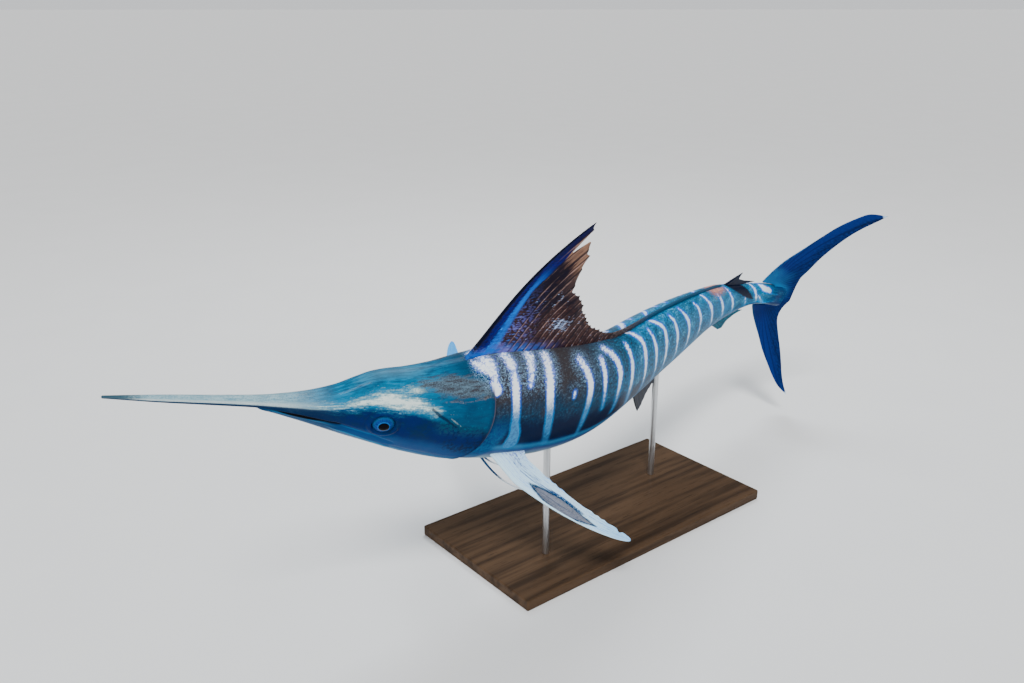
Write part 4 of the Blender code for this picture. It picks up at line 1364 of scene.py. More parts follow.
class MarlinSkin:
    """The marlin's skin: countershading, bars, head colours, painted highlights and painted shade, and fine
    scales, on one set of noises.
    """

    TURQUOISE = (0.000, 0.175, 0.340)
    # Cream core of the painted brow highlight.
    TEAL = (0.000, 0.042, 0.105)
    DEEP_TEAL = (0.000, 0.017, 0.056)
    BROW_HIGHLIGHT_CORE = (0.700, 0.800, 0.760)
    NAVY = (0.000, 0.005, 0.030)
    INK = (0.000, 0.011, 0.082)
    MID_BLUE = (0.000, 0.032, 0.155)
    BROWN = (0.038, 0.030, 0.030)
    STONE = (0.240, 0.225, 0.220)
    SLATE = (0.005, 0.015, 0.030)
    # Pale fleck, used for the painted glints on the front flank and along the top of the head.
    FLECK = (0.060, 0.190, 0.290)
    # Blue of the painted highlight along the keels.
    KEEL_HIGHLIGHT = (0.008, 0.320, 0.860)
    COPPER = (0.240, 0.110, 0.070)
    SILVER = (0.360, 0.500, 0.580)
    REAR_BLUE = (0.000, 0.330, 0.800)
    # Bright rear speckle, partly the skin's own and partly painted sheen.
    REAR_SPECKLE_SHEEN = (0.240, 0.760, 1.000)
    # Blue of the painted glints on the rear flank.
    REAR_GLINT = (0.000, 0.320, 0.760)
    WOUND = (0.220, 0.040, 0.040)
    FLESH = (0.620, 0.300, 0.240)
    # Near black of the painted shadow of the second dorsal fin.
    FIN_SHADOW = (0.000, 0.003, 0.018)
    BAR_WORN = (0.300, 0.520, 0.850)
    BAR_REAR = (0.200, 0.640, 0.960)
    BAR_FOOT = ((0.000, 0.060, 0.210), (0.000, 0.210, 0.470))
    GLOW = ((0.000, 0.180, 0.480), (0.010, 0.080, 0.760))
    SPRAY = (0.300, 0.560, 0.880)
    AURA = (0.004, 0.300, 0.620)
    BEHIND_GILL = (0.000, 0.110, 0.260)
    CROWN_FLECK = (0.060, 0.360, 0.500)
    CHEEK_BAND = (0.000, 0.058, 0.190)
    COVER = (0.003, 0.060, 0.100)
    # Pale colour of the painted highlight streaks on the gill cover.
    COVER_HIGHLIGHT = (0.300, 0.420, 0.380)
    # Grey-green middle band of the painted brow highlight.
    BROW_HIGHLIGHT = (0.320, 0.520, 0.530)
    NAPE = (0.100, 0.165, 0.220)
    BONE = ((0.130, 0.270, 0.350), (0.400, 0.560, 0.590))
    BONE_LIGHT = (0.600, 0.660, 0.640)
    BONE_PORE = (0.110, 0.075, 0.080)
    BILL_END = (0.008, 0.035, 0.055)
    BILL_SHADE = (0.001, 0.013, 0.050)
    JAW = (0.003, 0.055, 0.150)
    JAW_EDGE = (0.000, 0.220, 0.430)
    JAW_LINE = (0.000, 0.130, 0.320)

    def __init__(self) -> None:
        """Starts the material and reads where each point lies on the fish."""
        self.paint = Paint("marlin_skin", coat=0.03)
        self.s, self.level, self.gill = self.paint.values("station", "level", "gill")
        at = self.paint.point(self.s, self.level * 0.10)
        self.fine = self.paint.noise(330, 4, 0.85, at)
        self.grain = self.paint.noise(150, 4, 0.7, at)
        self.blotch = self.paint.noise(26, 4, 0.6, at)
        self.cloud = self.paint.noise(9, 3, 0.5, at)
        self.streak = self.paint.noise(90, 4, 0.65, self.paint.point(self.s * 0.35, self.level * 0.13))

    def build(self) -> bpy.types.Material:
        """Joins body and head at the gill rim, then lays bars, tail root, painted highlights on the keels,
        scar and the painted shadow of the second dorsal fin over them.

        Returns:
            The material.
        """
        paint, s, level, fine, grain = self.paint, self.s, self.level, self.fine, self.grain
        colour = paint.blend(self.gill.step(0.0008, -0.0008), self._body(), self._head())
        keel = level.off(0.0).off(0.39).step(0.10, 0.04) * s.step(2.32, 2.34) * s.step(2.43, 2.41)
        scar, smudge = paint.values("scar", "smudge")
        wound = scar + grain.sway(0.110) + fine.sway(0.054)
        colour = paint.coats(
            self._bars(colour),
            (s.step(2.33, 2.43) * 0.75, self.INK),
            # Painted highlight along the ridges of the keels.
            (keel * grain.step(0.40, 0.60) * 0.4, self.KEEL_HIGHLIGHT),
            (wound.step(0.003, -0.003), self.WOUND),
            ((wound + grain.sway(0.030)).step(-0.006, -0.012), self.FLESH),
            # Painted shadow of the second dorsal fin over the tail root.
            ((smudge + grain.sway(0.010)).step(0.004, -0.003), self.FIN_SHADOW),
        )
        scales = paint.noise(520, 2, 0.6, paint.point(s * 0.55, level * 0.13))
        paint.relief(scales.mixed(fine, 0.4), 0.0007)
        return paint.done(colour, 0.30 + grain * 0.22)

    def _body(self) -> Sock:
        """Behind the gill rim: dark back, rusty shoulders, bright rear with a painted sunlit band, glints and
        sheen, a dark lower front flank partly painted shade, silver belly with a pale line.

        Returns:
            The colour.
        """
        paint, s, level = self.paint, self.s, self.level
        fine, grain, blotch = self.fine, self.grain, self.blotch
        speck = fine.mixed(grain, 0.45)
        rusty = (level + blotch.sway(1.1) + self.cloud * 0.4).step(0.25, 1.00) * s.step(1.42, 1.02)
        rusty = rusty.high((level + blotch * 0.6).step(1.70, 1.90) * s.step(1.50, 1.30) * 0.7)
        rear = s.step(1.08, 1.55) * grain.mixed(blotch, 0.4).step(0.36, 0.62)
        behind = s.step(1.10, 1.60)
        # Painted light: a sunlit band on the upper flank towards the rear, and painted glints that are
        # strongest in it.
        lit = (0.5 - level.off(0.62)).step(0.0, 0.45) * (s + blotch * 0.3).step(1.10, 1.65)
        glint = speck.step(0.52, 0.66) * (0.35 + lit * 0.55) * (1.0 - behind * 0.5)
        # Dark navy lower front flank: partly the skin's own dark tone, partly painted shade where the flank
        # turns away from the light.
        dark = (level + blotch.sway(0.30) + grain.sway(0.2)).step(0.26, -0.08) * s.step(1.75, 1.30)
        line = level + blotch.sway(0.10)
        belly = paint.coats(
            self.MID_BLUE,
            (line.step(-0.55, -1.15), self.SILVER),
            (line.step(-0.66, -0.50) * line.step(-0.38, -0.50) * 0.9, PALE_BLUE),
        )
        return paint.coats(
            self.SLATE,
            (speck.step(0.40, 0.60), self.TEAL),
            (rusty * (fine + grain * 0.3).step(0.42, 0.66), self.BROWN),
            (rusty * speck.step(0.56, 0.66) * 0.75, self.STONE),
            (rear * 0.9, self.TURQUOISE),
            (behind * (speck + self.cloud.sway(0.3)).step(0.48, 0.58) * 0.45, self.REAR_BLUE),
            # Bright rear speckles: partly the skin's own speckle, partly painted sheen.
            (behind * (speck + blotch.sway(0.4)).step(0.57, 0.64) * 0.9, self.REAR_SPECKLE_SHEEN),
            (glint, paint.blend(behind, self.FLECK, self.REAR_GLINT)),
            (dark * 0.95, self.NAVY),
            (dark * fine.step(0.62, 0.70) * 0.4, self.MID_BLUE),
            (line.step(-0.36, -0.50), belly),
        )

    def _bars(self, under: Sock) -> Sock:
        """Lays the white and blue bars, with their glow, over the body.

        Args:
            under: The colour so far.

        Returns:
            The colour.
        """
        paint, s, level, fine, grain, gill = self.paint, self.s, self.level, self.fine, self.grain, self.gill
        high = (level - 0.50).high(0.0) * s.step(1.6, 1.0)
        rough = high * 0.020 + 0.0030
        gap = paint.values("bar")[0] + fine.sway(2.4) * rough + grain.sway(2.6) * rough
        drawn = paint.noise(70, 4, 0.7, paint.point(s, level * 0.045))
        worn = (drawn - 0.5) * (0.004 + s.step(1.20, 1.80) * 0.014) + s.step(1.10, 1.50) * 0.0006
        behind = gill.step(-0.004, 0.002).high(level.step(0.60, 0.80) * s.step(0.815, 0.835))
        near = gill.step(0.060, 0.040) * (level + grain.sway(0.5)).step(0.30, -0.20) * behind
        aura = gap.step(0.016, 0.0) * s.step(1.10, 1.35) * (level + grain).step(-0.2, 0.6)
        spray = gap.step(0.036, 0.004) * (level + grain * 0.4).step(0.62, 1.10) * s.step(1.30, 1.05) * behind
        sunk = level + grain.sway(0.8) + s.step(1.05, 0.98) * 0.30
        fade = 1.0 - sunk.step(0.10, -0.40) * (0.20 + s.step(1.35, 1.15) * 0.50)
        halo = (gap + worn * 0.5 + fine.sway(0.004)).step(0.0056, -0.0010) * behind
        core = (gap + worn).step(0.0002, -0.0024) * behind
        low = (level + grain.sway(0.5) + s.step(1.15, 1.50) * 0.40).step(0.56, 0.10)
        bar = paint.coats(
            WHITE,
            (low * 0.95, paint.blend(fine.mixed(grain, 0.6).step(0.36, 0.58), *self.BAR_FOOT)),
            (s.step(1.15, 1.7) * (0.10 + grain * 0.30), self.BAR_REAR),
            (high * grain.step(0.50, 0.62) * 0.6, self.BAR_WORN),
        )
        return paint.coats(
            under,
            (near * 0.8, paint.blend(grain.step(0.35, 0.65), self.MID_BLUE, self.BEHIND_GILL)),
            (aura * fine.mixed(grain, 0.5).step(0.40, 0.56) * 0.45, self.AURA),
            (spray * fine.mixed(grain, 0.3).step(0.50, 0.57) * 0.9, self.SPRAY),
            (halo * fade * 0.85, paint.blend(level.step(0.0, 0.8), *self.GLOW)),
            (core * fade, bar),
        )

    def _head(self) -> Sock:
        """Before the gill rim: crown over cheek, partly painted light from above, then the painted brow
        highlight, nape, gill cover with painted highlight streaks and painted shade in its fold, bill and
        jaws.

        Returns:
            The colour.
        """
        s, level, grain, blotch, streak = self.s, self.level, self.grain, self.blotch, self.streak
        edge = 0.33 + (s - 0.62).low(0.0) * 0.2 - (s - 0.66).high(0.0) * 1.6 + blotch.sway(0.25)
        edge = edge + streak.sway(0.10)
        # Turquoise crown over dark blue cheek: partly the head's own colours, partly painted light, the line
        # between them lying where the lit top of the head turns into shade.
        cheek = (level - edge).step(0.07, -0.08) * s.step(0.33, 0.42)
        colour = self.paint.blend(cheek, self._crown(), self._cheek())
        crest, nape, under, light, fold = self.paint.values("crest", "nape", "nape_edge", "streak", "fold")
        painted_highlight = crest + grain.sway(0.030) + streak.sway(0.050) + blotch.sway(0.026)
        nape = nape + streak.sway(0.050) + grain.sway(0.016)
        patch = self.paint.blend(self.fine.mixed(streak, 0.4).step(0.42, 0.58), self.BROWN, self.NAPE)
        under = (under + streak.sway(0.024) + grain.sway(0.008)).step(0.002, -0.004)
        rim = self.gill.step(-0.005, -0.0015) * (level + grain.sway(0.8)).step(-0.45, 0.10)
        ridge = level.step(1.10, 1.45) * (s + streak.sway(0.1)).step(0.56, 0.62) * s.step(0.76, 0.68)
        colour = self.paint.coats(
            colour,
            # Painted highlight over the brow: turquoise at its edge, grey-green within, cream at its core.
            (painted_highlight.step(0.022, -0.004) * 0.45, self.TURQUOISE),
            (painted_highlight.step(0.009, -0.012) * (0.35 + self.fine * 0.7), self.BROW_HIGHLIGHT),
            (painted_highlight.step(-0.003, -0.015) * (0.55 + self.fine * 0.6), self.BROW_HIGHLIGHT_CORE),
            (nape.step(0.008, -0.010) * 0.9, patch),
            (under * self.fine.step(0.40, 0.60) * 0.45, self.STONE),
            # Painted highlight streaks on the gill cover.
            ((light + streak.sway(0.006)).step(0.001, -0.002) * 0.75, self.COVER_HIGHLIGHT),
            # Painted shade: navy along the crease of the fold across the cheek.
            (fold.step(0.0032, 0.0) * 0.8, self.NAVY),
            (rim * 0.42, self.COPPER),
            (self.gill.step(-0.016, -0.005) * 0.35, self.NAVY),
            (ridge * 0.5, self.FLECK),
        )
        return self._jaws(self._bill(colour))

    def _crown(self) -> Sock:
        """The top of the head, turquoise that darkens to teal and slate towards the nape.

        Returns:
            The colour.
        """
        s, level, grain, blotch, streak = self.s, self.level, self.grain, self.blotch, self.streak
        return self.paint.coats(
            self.TEAL,
            (streak.mixed(blotch, 0.4).step(0.38, 0.62), self.TURQUOISE),
            ((s + blotch.sway(0.15)).step(0.70, 0.84) * 0.85, self.TEAL),
            (s.step(0.76, 0.86) * (level + blotch.sway(0.8)).step(0.70, 1.10) * 0.6, self.SLATE),
            (grain.mixed(streak, 0.5).step(0.44, 0.34) * 0.6, self.TEAL),
            (grain.mixed(self.fine, 0.6).step(0.57, 0.65) * 0.45, self.CROWN_FLECK),
        )

    def _cheek(self) -> Sock:
        """Cheek, throat and gill cover, deep blue with a paler band and underside.

        Returns:
            The colour.
        """
        s, level, grain, blotch, streak = self.s, self.level, self.grain, self.blotch, self.streak
        shadow = s.step(0.78, 0.83) * level.off(-0.30).step(0.42, 0.20)
        cover = s.step(0.755, 0.79) * (level + blotch.sway(0.4)).step(-0.20, 0.05)
        return self.paint.coats(
            self.DEEP_TEAL,
            (blotch.mixed(grain, 0.4).step(0.38, 0.58), self.INK),
            ((level + blotch.sway(0.5)).step(-0.25, -0.80) * 0.8, self.MID_BLUE),
            ((level + streak.sway(0.25)).step(-0.70, -1.05) * 0.75, PALE_BLUE),
            (self.fine.mixed(streak, 0.5).step(0.54, 0.64) * 0.35, self.MID_BLUE),
            ((level + blotch.sway(0.3)).off(-0.62).step(0.30, 0.05) * 0.6, self.CHEEK_BAND),
            (shadow * blotch.mixed(grain, 0.5).step(0.54, 0.44) * 0.8, self.NAVY),
            (cover * grain.step(0.36, 0.58), self.COVER),
            (cover * grain.mixed(streak, 0.5).step(0.56, 0.64) * 0.6, self.TURQUOISE),
        )

    def _bill(self, under: Sock) -> Sock:
        """The bill: pale bone with pores, dark at its tip and along its underside.

        Args:
            under: The colour so far.

        Returns:
            The colour.
        """
        s, level, grain, streak = self.s, self.level, self.grain, self.streak
        pore = self.paint.noise(300, 4, 0.75)
        end = (s + pore.sway(0.06)).step(PLAN.bill_tip + 0.09, PLAN.bill_tip + 0.03)
        bone = self.paint.coats(
            self.paint.blend(streak.mixed(pore, 0.5).step(0.42, 0.60), *self.BONE),
            ((level + pore.sway(0.8)).off(0.45).step(0.45, 0.10) * 0.6, self.BONE_LIGHT),
            (pore.mixed(grain, 0.4).step(0.54, 0.62) * 0.55, self.BONE_PORE),
            (end * 0.9, self.BILL_END),
        )
        horn = (s + streak.sway(0.10)).step(0.56, 0.40) * level.step(-0.10, 0.25)
        shade = s.step(0.60, 0.50) * (level + grain.sway(0.12)).step(0.30, 0.10)
        return self.paint.coats(under, (horn * (0.70 + streak * 0.4), bone), (shade * 0.9, self.BILL_SHADE))

    def _jaws(self, under: Sock) -> Sock:
        """The lower jaw with its two edge lines, pale chin and lip, and the mouth line painted black as shade
        in its crease.

        Args:
            under: The colour so far.

        Returns:
            The colour.
        """
        s, level, streak = self.s, self.level, self.streak
        edge = (level + (s - 0.58).high(0.0) * 2.2).off(-0.70).step(0.055, 0.012)
        edge = edge * s.step(0.52, 0.56) * s.step(0.76, 0.70)
        line = (level + (s - 0.58) * 1.55).off(-0.47).step(0.032, 0.006)
        line = line * s.step(0.55, 0.60) * s.step(0.71, 0.67)
        mouth = self.paint.values("mouth")[0]
        jaw = mouth.step(0.0005, -0.0015) * s.step(0.566, 0.505)
        chin = jaw * (level + streak.sway(0.3)).step(-0.85, -1.20)
        lip = mouth.step(-0.0050, -0.0034) * mouth.step(-0.0008, -0.0024)
        lip = lip * s.step(0.40, 0.43) * s.step(0.575, 0.500)
        wide = 0.0010 + (s.off(0.470) * 18.0).step(1.3, 0.0) * 0.0022
        crease = (mouth.off(0.0) - wide * s.step(0.578, 0.540)).step(0.0010, -0.0004)
        return self.paint.coats(
            under,
            (edge * (0.45 + streak * 0.6), self.JAW_EDGE),
            (line * (0.25 + streak * 0.6), self.JAW_LINE),
            (jaw * 0.9, self.JAW),
            (chin * 0.6, PALE_BLUE),
            (lip * 0.55, PALE_BLUE),
            # Painted shade: black along the crease of the mouth.
            (crease * s.step(0.585, 0.560), BLACK),
        )


def ray_wave(ray: Sock, ahead: float = math.pi / 2) -> Sock:
    """Sine of whole turns along the rays, which is 1 on each ray.

    Args:
        ray: Place across the rays, whole on each ray.
        ahead: How far the crest lies before the ray, as an angle.

    Returns:
        Values from -1 to 1.
    """
    return (ray * (2.0 * math.pi) + ahead).wave()


@dataclass(frozen=True)
class DorsalMembrane:
    """The tall first dorsal fin: black and royal blue in front, then azure, then brown membrane with rays,
    painted glints and a painted highlight beside each ray.
    """

    mauve: Colour = (0.018, 0.008, 0.012)
    umber: Colour = (0.062, 0.027, 0.023)
    shadow: Colour = (0.004, 0.003, 0.012)
    tan: Colour = (0.270, 0.145, 0.095)
    azure: Colour = (0.002, 0.140, 0.640)
    violet: Colour = (0.150, 0.150, 0.520)
    midnight: Colour = (0.001, 0.002, 0.050)
    royal: Colour = (0.001, 0.004, 0.170)
    flash: Colour = (0.060, 0.460, 0.900)
    spike: Colour = (0.002, 0.002, 0.030)
    front_edge: Colour = (0.001, 0.002, 0.012)
    ray_dark: Colour = (0.008, 0.005, 0.010)
    # Pinkish painted highlight beside each ray.
    ray_highlight: Colour = (0.420, 0.250, 0.210)
    # White-blue of the painted glints on the membrane.
    painted_glints: Colour = (0.420, 0.600, 0.950)

    def build(self) -> bpy.types.Material:
        """Makes the material. Places across the fin are measured in widths of its dark front part.

        Returns:
            The material.
        """
        paint = Paint("dorsal_membrane", coat=0.04)
        out, ray, high, back = paint.values("out", "ray", "height", "back")
        at = paint.point(ray * 0.010, high)
        grain = paint.noise(190, 4, 0.7, at)
        blotch = paint.noise(34, 4, 0.6, at)
        drawn = paint.noise(60, 4, 0.7, paint.point(ray * 0.020, out * 0.05))
        across = back / (0.008 + (0.30 - high).high(0.0) * 0.150) + grain.sway(0.35)
        shade = (blotch.mixed(drawn, 0.4) - high.off(0.19) * 1.5).step(0.34, 0.42)
        tips = (out + drawn.sway(0.6)).step(0.80, 0.96) * (0.15 + high.step(0.18, 0.23) * 0.85)
        mottle = across.step(3.2, 1.3) * grain.mixed(blotch, 0.3).step(0.48, 0.58) * high.step(0.20, 0.05)
        membrane = paint.coats(
            self.mauve,
            (grain.mixed(drawn, 0.5).step(0.40, 0.62), self.umber),
            (shade * 0.9, self.shadow),
            (tips * 0.85, self.tan),
            (mottle * 0.75, paint.blend(blotch.step(0.4, 0.6), self.azure, self.violet)),
        )
        stripe = across.step(0.50, 0.70) * (high + grain.sway(0.08)).step(0.235, 0.165)
        flash = stripe * grain.mixed(drawn, 0.4).step(0.54, 0.62) * (high + drawn.sway(0.1)).step(0.14, 0.02)
        lead = paint.coats(
            self.midnight,
            (grain.mixed(drawn, 0.4).step(0.40, 0.60), self.royal),
            (stripe * (grain.mixed(drawn, 0.5).step(0.38, 0.58) * 0.6 + 0.4), self.azure),
            (flash * 0.8, self.flash),
            (high.step(0.20, 0.29) * 0.8, self.spike),
            (across.step(0.24, 0.06), self.front_edge),
        )
        foot = (high + grain.sway(0.06)).step(0.030, 0.004) * back.step(0.26, 0.10)
        rear = across.step(1.2, 2.0)
        beside = ray_wave(ray, 0.5)
        # Painted glints: white-blue flecks across the rays, most of them in one patch.
        shine = back.off(0.185).step(0.045, 0.005) * high.off(0.070).step(0.030, 0.006)
        painted_glints = grain.mixed(drawn, 0.35) + shine * 0.10 - high.step(0.14, 0.24) * 0.2
        painted_glints = painted_glints.step(0.580, 0.640) * (beside.step(-0.20, 0.60) * 0.6 + 0.4)
        colour = paint.coats(
            membrane,
            ((across - high.step(0.16, 0.26) * 1.3).step(1.14, 0.92), lead),
            (foot * 0.7, paint.blend(blotch.step(0.42, 0.58), self.azure, self.violet)),
            (ray_wave(ray).step(0.35, 0.95) * rear * 0.8, self.ray_dark),
            # Painted highlight along one side of each ray.
            (beside.step(0.70, 0.97) * drawn.step(0.42, 0.60) * rear * 0.65, self.ray_highlight),
            (painted_glints * rear * 0.9, self.painted_glints),
        )
        paint.relief(grain.mixed(drawn, 0.4), 0.0009)
        return paint.done(colour, 0.34 + grain * 0.2)


@dataclass(frozen=True)
class SmallFinMembrane:
    """A small fin of one dark colour, lighter between its rays, with another colour along its rear rays."""

    name: str
    base: Colour
    light: Colour
    rear: Colour | None = None

    def build(self) -> bpy.types.Material:
        """Makes the material.

        Returns:
            The material.
        """
        paint = Paint(self.name, coat=0.04)
        ray, out, high = paint.values("ray", "out", "height")
        grain = paint.noise(240, 4, 0.65, paint.point(ray * 0.008, high))
        colour = paint.coats(
            self.base,
            (grain.step(0.38, 0.64), self.light),
            (ray_wave(ray).step(0.2, 0.95) * 0.6, self.base),
            ((out + grain.sway(0.3)).step(0.86, 1.0) * 0.4, self.light),
        )
        if self.rear:
            colour = paint.blend((ray + grain.sway(4)).step(3, 14) * (0.60 + grain * 0.5), colour, self.rear)
        paint.relief(grain, 0.0006)
        return paint.done(colour, 0.34 + grain * 0.2)


@dataclass(frozen=True)
class TailMembrane:
    """The tail fin: deep blue, azure by the upper root, with pale tips and rear edge."""

    deep: Colour = (0.001, 0.007, 0.050)
    blue: Colour = (0.003, 0.022, 0.135)
    front: Colour = (0.002, 0.020, 0.170)
    root: Colour = (0.010, 0.170, 0.400)
    front_edge: Colour = (0.010, 0.090, 0.220)
    rays: Colour = (0.001, 0.004, 0.030)
    tips: Colour = (0.420, 0.600, 0.780)

    def build(self) -> bpy.types.Material:
        """Makes the material.

        Returns:
            The material.
        """
        paint = Paint("tail_membrane", coat=0.04)
        out, chord, fan, high = paint.values("out", "chord", "fan", "height")
        grain = paint.noise(150, 4, 0.65, paint.point(fan * 0.006, high))
        cloud = paint.noise(14, 3, 0.5)
        size = high.off(0.0)
        root = (size + grain.sway(0.05) + cloud.sway(0.10)).step(0.120, 0.030) * high.step(-0.02, 0.03)
        edge = (chord + grain.sway(0.03)).step(0.975, 0.990) * size.step(0.05, 0.12)
        colour = paint.coats(
            self.deep,
            (grain.step(0.35, 0.68), self.blue),
            ((chord + cloud.sway(0.6)).step(0.75, 0.35) * 0.6, self.front),
            (root * chord.step(0.95, 0.35) * 0.85, self.root),
            (chord.step(0.05, 0.0) * 0.7, self.front_edge),
            (fan.wave().step(0.55, 0.95) * 0.5, self.rays),
            (edge * 0.55, PALE_BLUE),
            ((out + grain.sway(0.04)).step(0.960, 0.980), self.tips),
        )
        paint.relief(grain, 0.0006)
        return paint.done(colour, 0.32 + grain * 0.2)


@dataclass(frozen=True)
class PectoralSkin:
    """A pectoral fin: pale, with blue streaks along the rays and a worn grey patch with a dark rim."""

    name: str
    patch: float
    base: Colour
    tint: Colour
    far_end: Colour = (0.240, 0.620, 0.960)
    root: Colour = (0.120, 0.110, 0.560)
    near_band: Colour = (0.002, 0.080, 0.330)
    far_band: Colour = (0.010, 0.190, 0.560)
    dots: Colour = (0.002, 0.030, 0.130)
    rim: Colour = (0.002, 0.022, 0.050)
    worn: tuple = ((0.070, 0.075, 0.095), (0.230, 0.235, 0.260))

    def build(self) -> bpy.types.Material:
        """Makes the material. The patch is an ellipse across chord and length, with a ragged edge.

        Returns:
            The material.
        """
        paint = Paint(self.name, coat=0.04)
        patch = self.patch
        out, chord, ray = paint.values("out", "chord", "ray")
        spot = paint.point(chord * 0.10, out * 0.40)
        grain = paint.noise(170, 4, 0.7, spot)
        streak = paint.noise(64, 4, 0.75, paint.point(ray * 0.026, out * 0.055))
        blotch = paint.noise(22, 4, 0.6, spot)
        far_end = (out + streak.sway(0.5)).step(0.60, 0.90) * (0.5 * patch)
        root = (out + grain.sway(0.2)).step(0.22, 0.02) * (chord - 0.25).step(0.0, 0.3)
        band = 0.5 - chord.off(0.55) * 1.8 + streak.sway(2.6) + grain.sway(0.5)
        near_band = band.step(0.38, 0.56) * out.step(0.03, 0.10) * out.step(0.46, 0.34)
        far_band = band.step(0.50, 0.66) * out.step(0.66, 0.74) * out.step(0.92, 0.84)
        far_off = out.off(0.480) * 4.8
        across = (chord + blotch.sway(0.10)).off(0.30) * 0.10
        inside = across - 0.025 + far_off * far_off * 0.021 + grain.sway(0.026)
        rim = (inside + blotch.sway(0.020)).step(0.0120, 0.0060) * grain.mixed(streak, 0.4).step(0.38, 0.50)
        rim = rim.high(inside.step(0.0030, 0.0010))
        dots = (inside + chord.off(0.66) * 0.05).off(0.012).step(0.010, 0.003) * (chord - 0.5).step(0.0, 0.08)
        worn = paint.blend(grain.mixed(streak, 0.6).step(0.38, 0.62), *self.worn)
        dots = dots * grain.mixed(blotch, 0.4).step(0.42, 0.50) * out.step(0.30, 0.38) * out.step(0.84, 0.72)
        colour = paint.coats(
            self.base,
            (far_end, self.far_end),
            ((streak + grain.sway(0.3)).step(0.53, 0.62) * 0.85, self.tint),
            (root * grain.step(0.45, 0.60) * 0.8, self.root),
            (near_band * (0.9 * patch), self.near_band),
            (far_band * (0.8 * patch), self.far_band),
            (dots * patch, self.dots),
            (rim * patch, self.rim),
            (inside.step(0.0015, -0.0015) * patch, worn),
            (ray_wave(ray).step(0.60, 0.98) * 0.25, self.tint),
            (chord.step(0.07, 0.03), self.base),
        )
        paint.relief(grain.mixed(streak, 0.4), 0.0007)
        return paint.done(colour, 0.34 + grain * 0.2)


@dataclass(frozen=True)
class PelvicSkin:
    """A pelvic fin: dark blue by the root, white beyond the middle."""

    root: tuple = ((0.002, 0.020, 0.070), (0.006, 0.090, 0.230))

    def build(self) -> bpy.types.Material:
        """Makes the material.

        Returns:
            The material.
        """
        paint = Paint("pelvic", coat=0.04)
        grain = paint.noise(260, 4, 0.7)
        dark = paint.blend(grain.step(0.38, 0.62), *self.root)
        white = (paint.values("out")[0] + grain.sway(0.3)).step(0.36, 0.58)
        paint.relief(grain, 0.0004)
        return paint.done(paint.blend(white, dark, WHITE), 0.34 + grain * 0.2)


@dataclass(frozen=True)
class EyeGlass:
    """The eye: dark pupil with a thin blue ring in a deep blue iris."""

    iris: tuple = ((0.000, 0.018, 0.100), (0.000, 0.052, 0.260))
    outer_iris: Colour = (0.003, 0.085, 0.200)
    socket: Colour = (0.000, 0.004, 0.016)
    ring: Colour = (0.004, 0.150, 0.480)

    def build(self) -> bpy.types.Material:
        """Makes the material, in rings by the angle from the eye's axis.

        Returns:
            The material.
        """
        paint = Paint("eye_glass", coat=0.03)
        tilt, spin = paint.values("tilt", "spin")
        rays = paint.noise(60, 3, 0.6, paint.point(spin * 0.16, tilt * 0.02))
        grain = paint.noise(420, 3, 0.6)
        colour = paint.coats(
            paint.blend(rays.step(0.35, 0.65), *self.iris),
            (tilt.step(0.70, 1.00) * tilt.step(1.30, 1.10) * 0.7, self.outer_iris),
            (tilt.step(1.10, 1.40), self.socket),
            (tilt.off(0.515).step(0.055, 0.015) * (0.50 + rays * 0.6), self.ring),
            ((tilt + grain.sway(0.02)).step(0.490, 0.460), BLACK),
        )
        return paint.done(colour, 0.06 + grain * 0.05)


@dataclass(frozen=True)
class StandOak:
    """Dark stained oak for the base, with grain along its length."""

    bands: tuple = ((0.030, 0.018, 0.011), (0.075, 0.044, 0.025))
    pores: Colour = (0.014, 0.009, 0.006)

    def build(self) -> bpy.types.Material:
        """Makes the material.

        Returns:
            The material.
        """
        paint = Paint("stand_oak", coat=0.05)
        at = paint.stretched((0.06, 1.0, 1.0))
        grain = paint.noise(230, 4, 0.6, at)
        bands = (paint.noise(42, 2, 0.5, at) + paint.noise(7, 3, 0.5, at) * 0.4).step(0.45, 0.85)
        colour = paint.blend(bands, *self.bands)
        paint.relief(grain, 0.0004)
        return paint.done(paint.blend(grain.step(0.58, 0.66) * 0.6, colour, self.pores), 0.34 + grain * 0.16)


@dataclass(frozen=True)
class StandSteel:
    """Brushed stainless steel for the rods."""

    shades: tuple = ((0.48, 0.49, 0.50), (0.66, 0.67, 0.68))

    def build(self) -> bpy.types.Material:
        """Makes the material.

        Returns:
            The material.
        """
        paint = Paint("stand_steel", metal=1.0)
        brush = paint.noise(900, 2, 0.5, paint.stretched((1.0, 1.0, 0.02)))
        smear = paint.noise(14, 3, 0.5)
        paint.relief(brush, 0.00008, 0.4)
        return paint.done(paint.blend(brush, *self.shades), 0.22 + brush * 0.14 + smear * 0.08)


@dataclass(frozen=True)
class StudioFloor:
    """Pale matt studio floor."""

    shades: tuple = ((0.76, 0.77, 0.78), (0.80, 0.81, 0.82))

    def build(self) -> bpy.types.Material:
        """Makes the material.

        Returns:
            The material.
        """
        paint = Paint("studio_floor")
        return paint.done(paint.blend(paint.noise(3.0, 3, 0.5), *self.shades), 0.9)


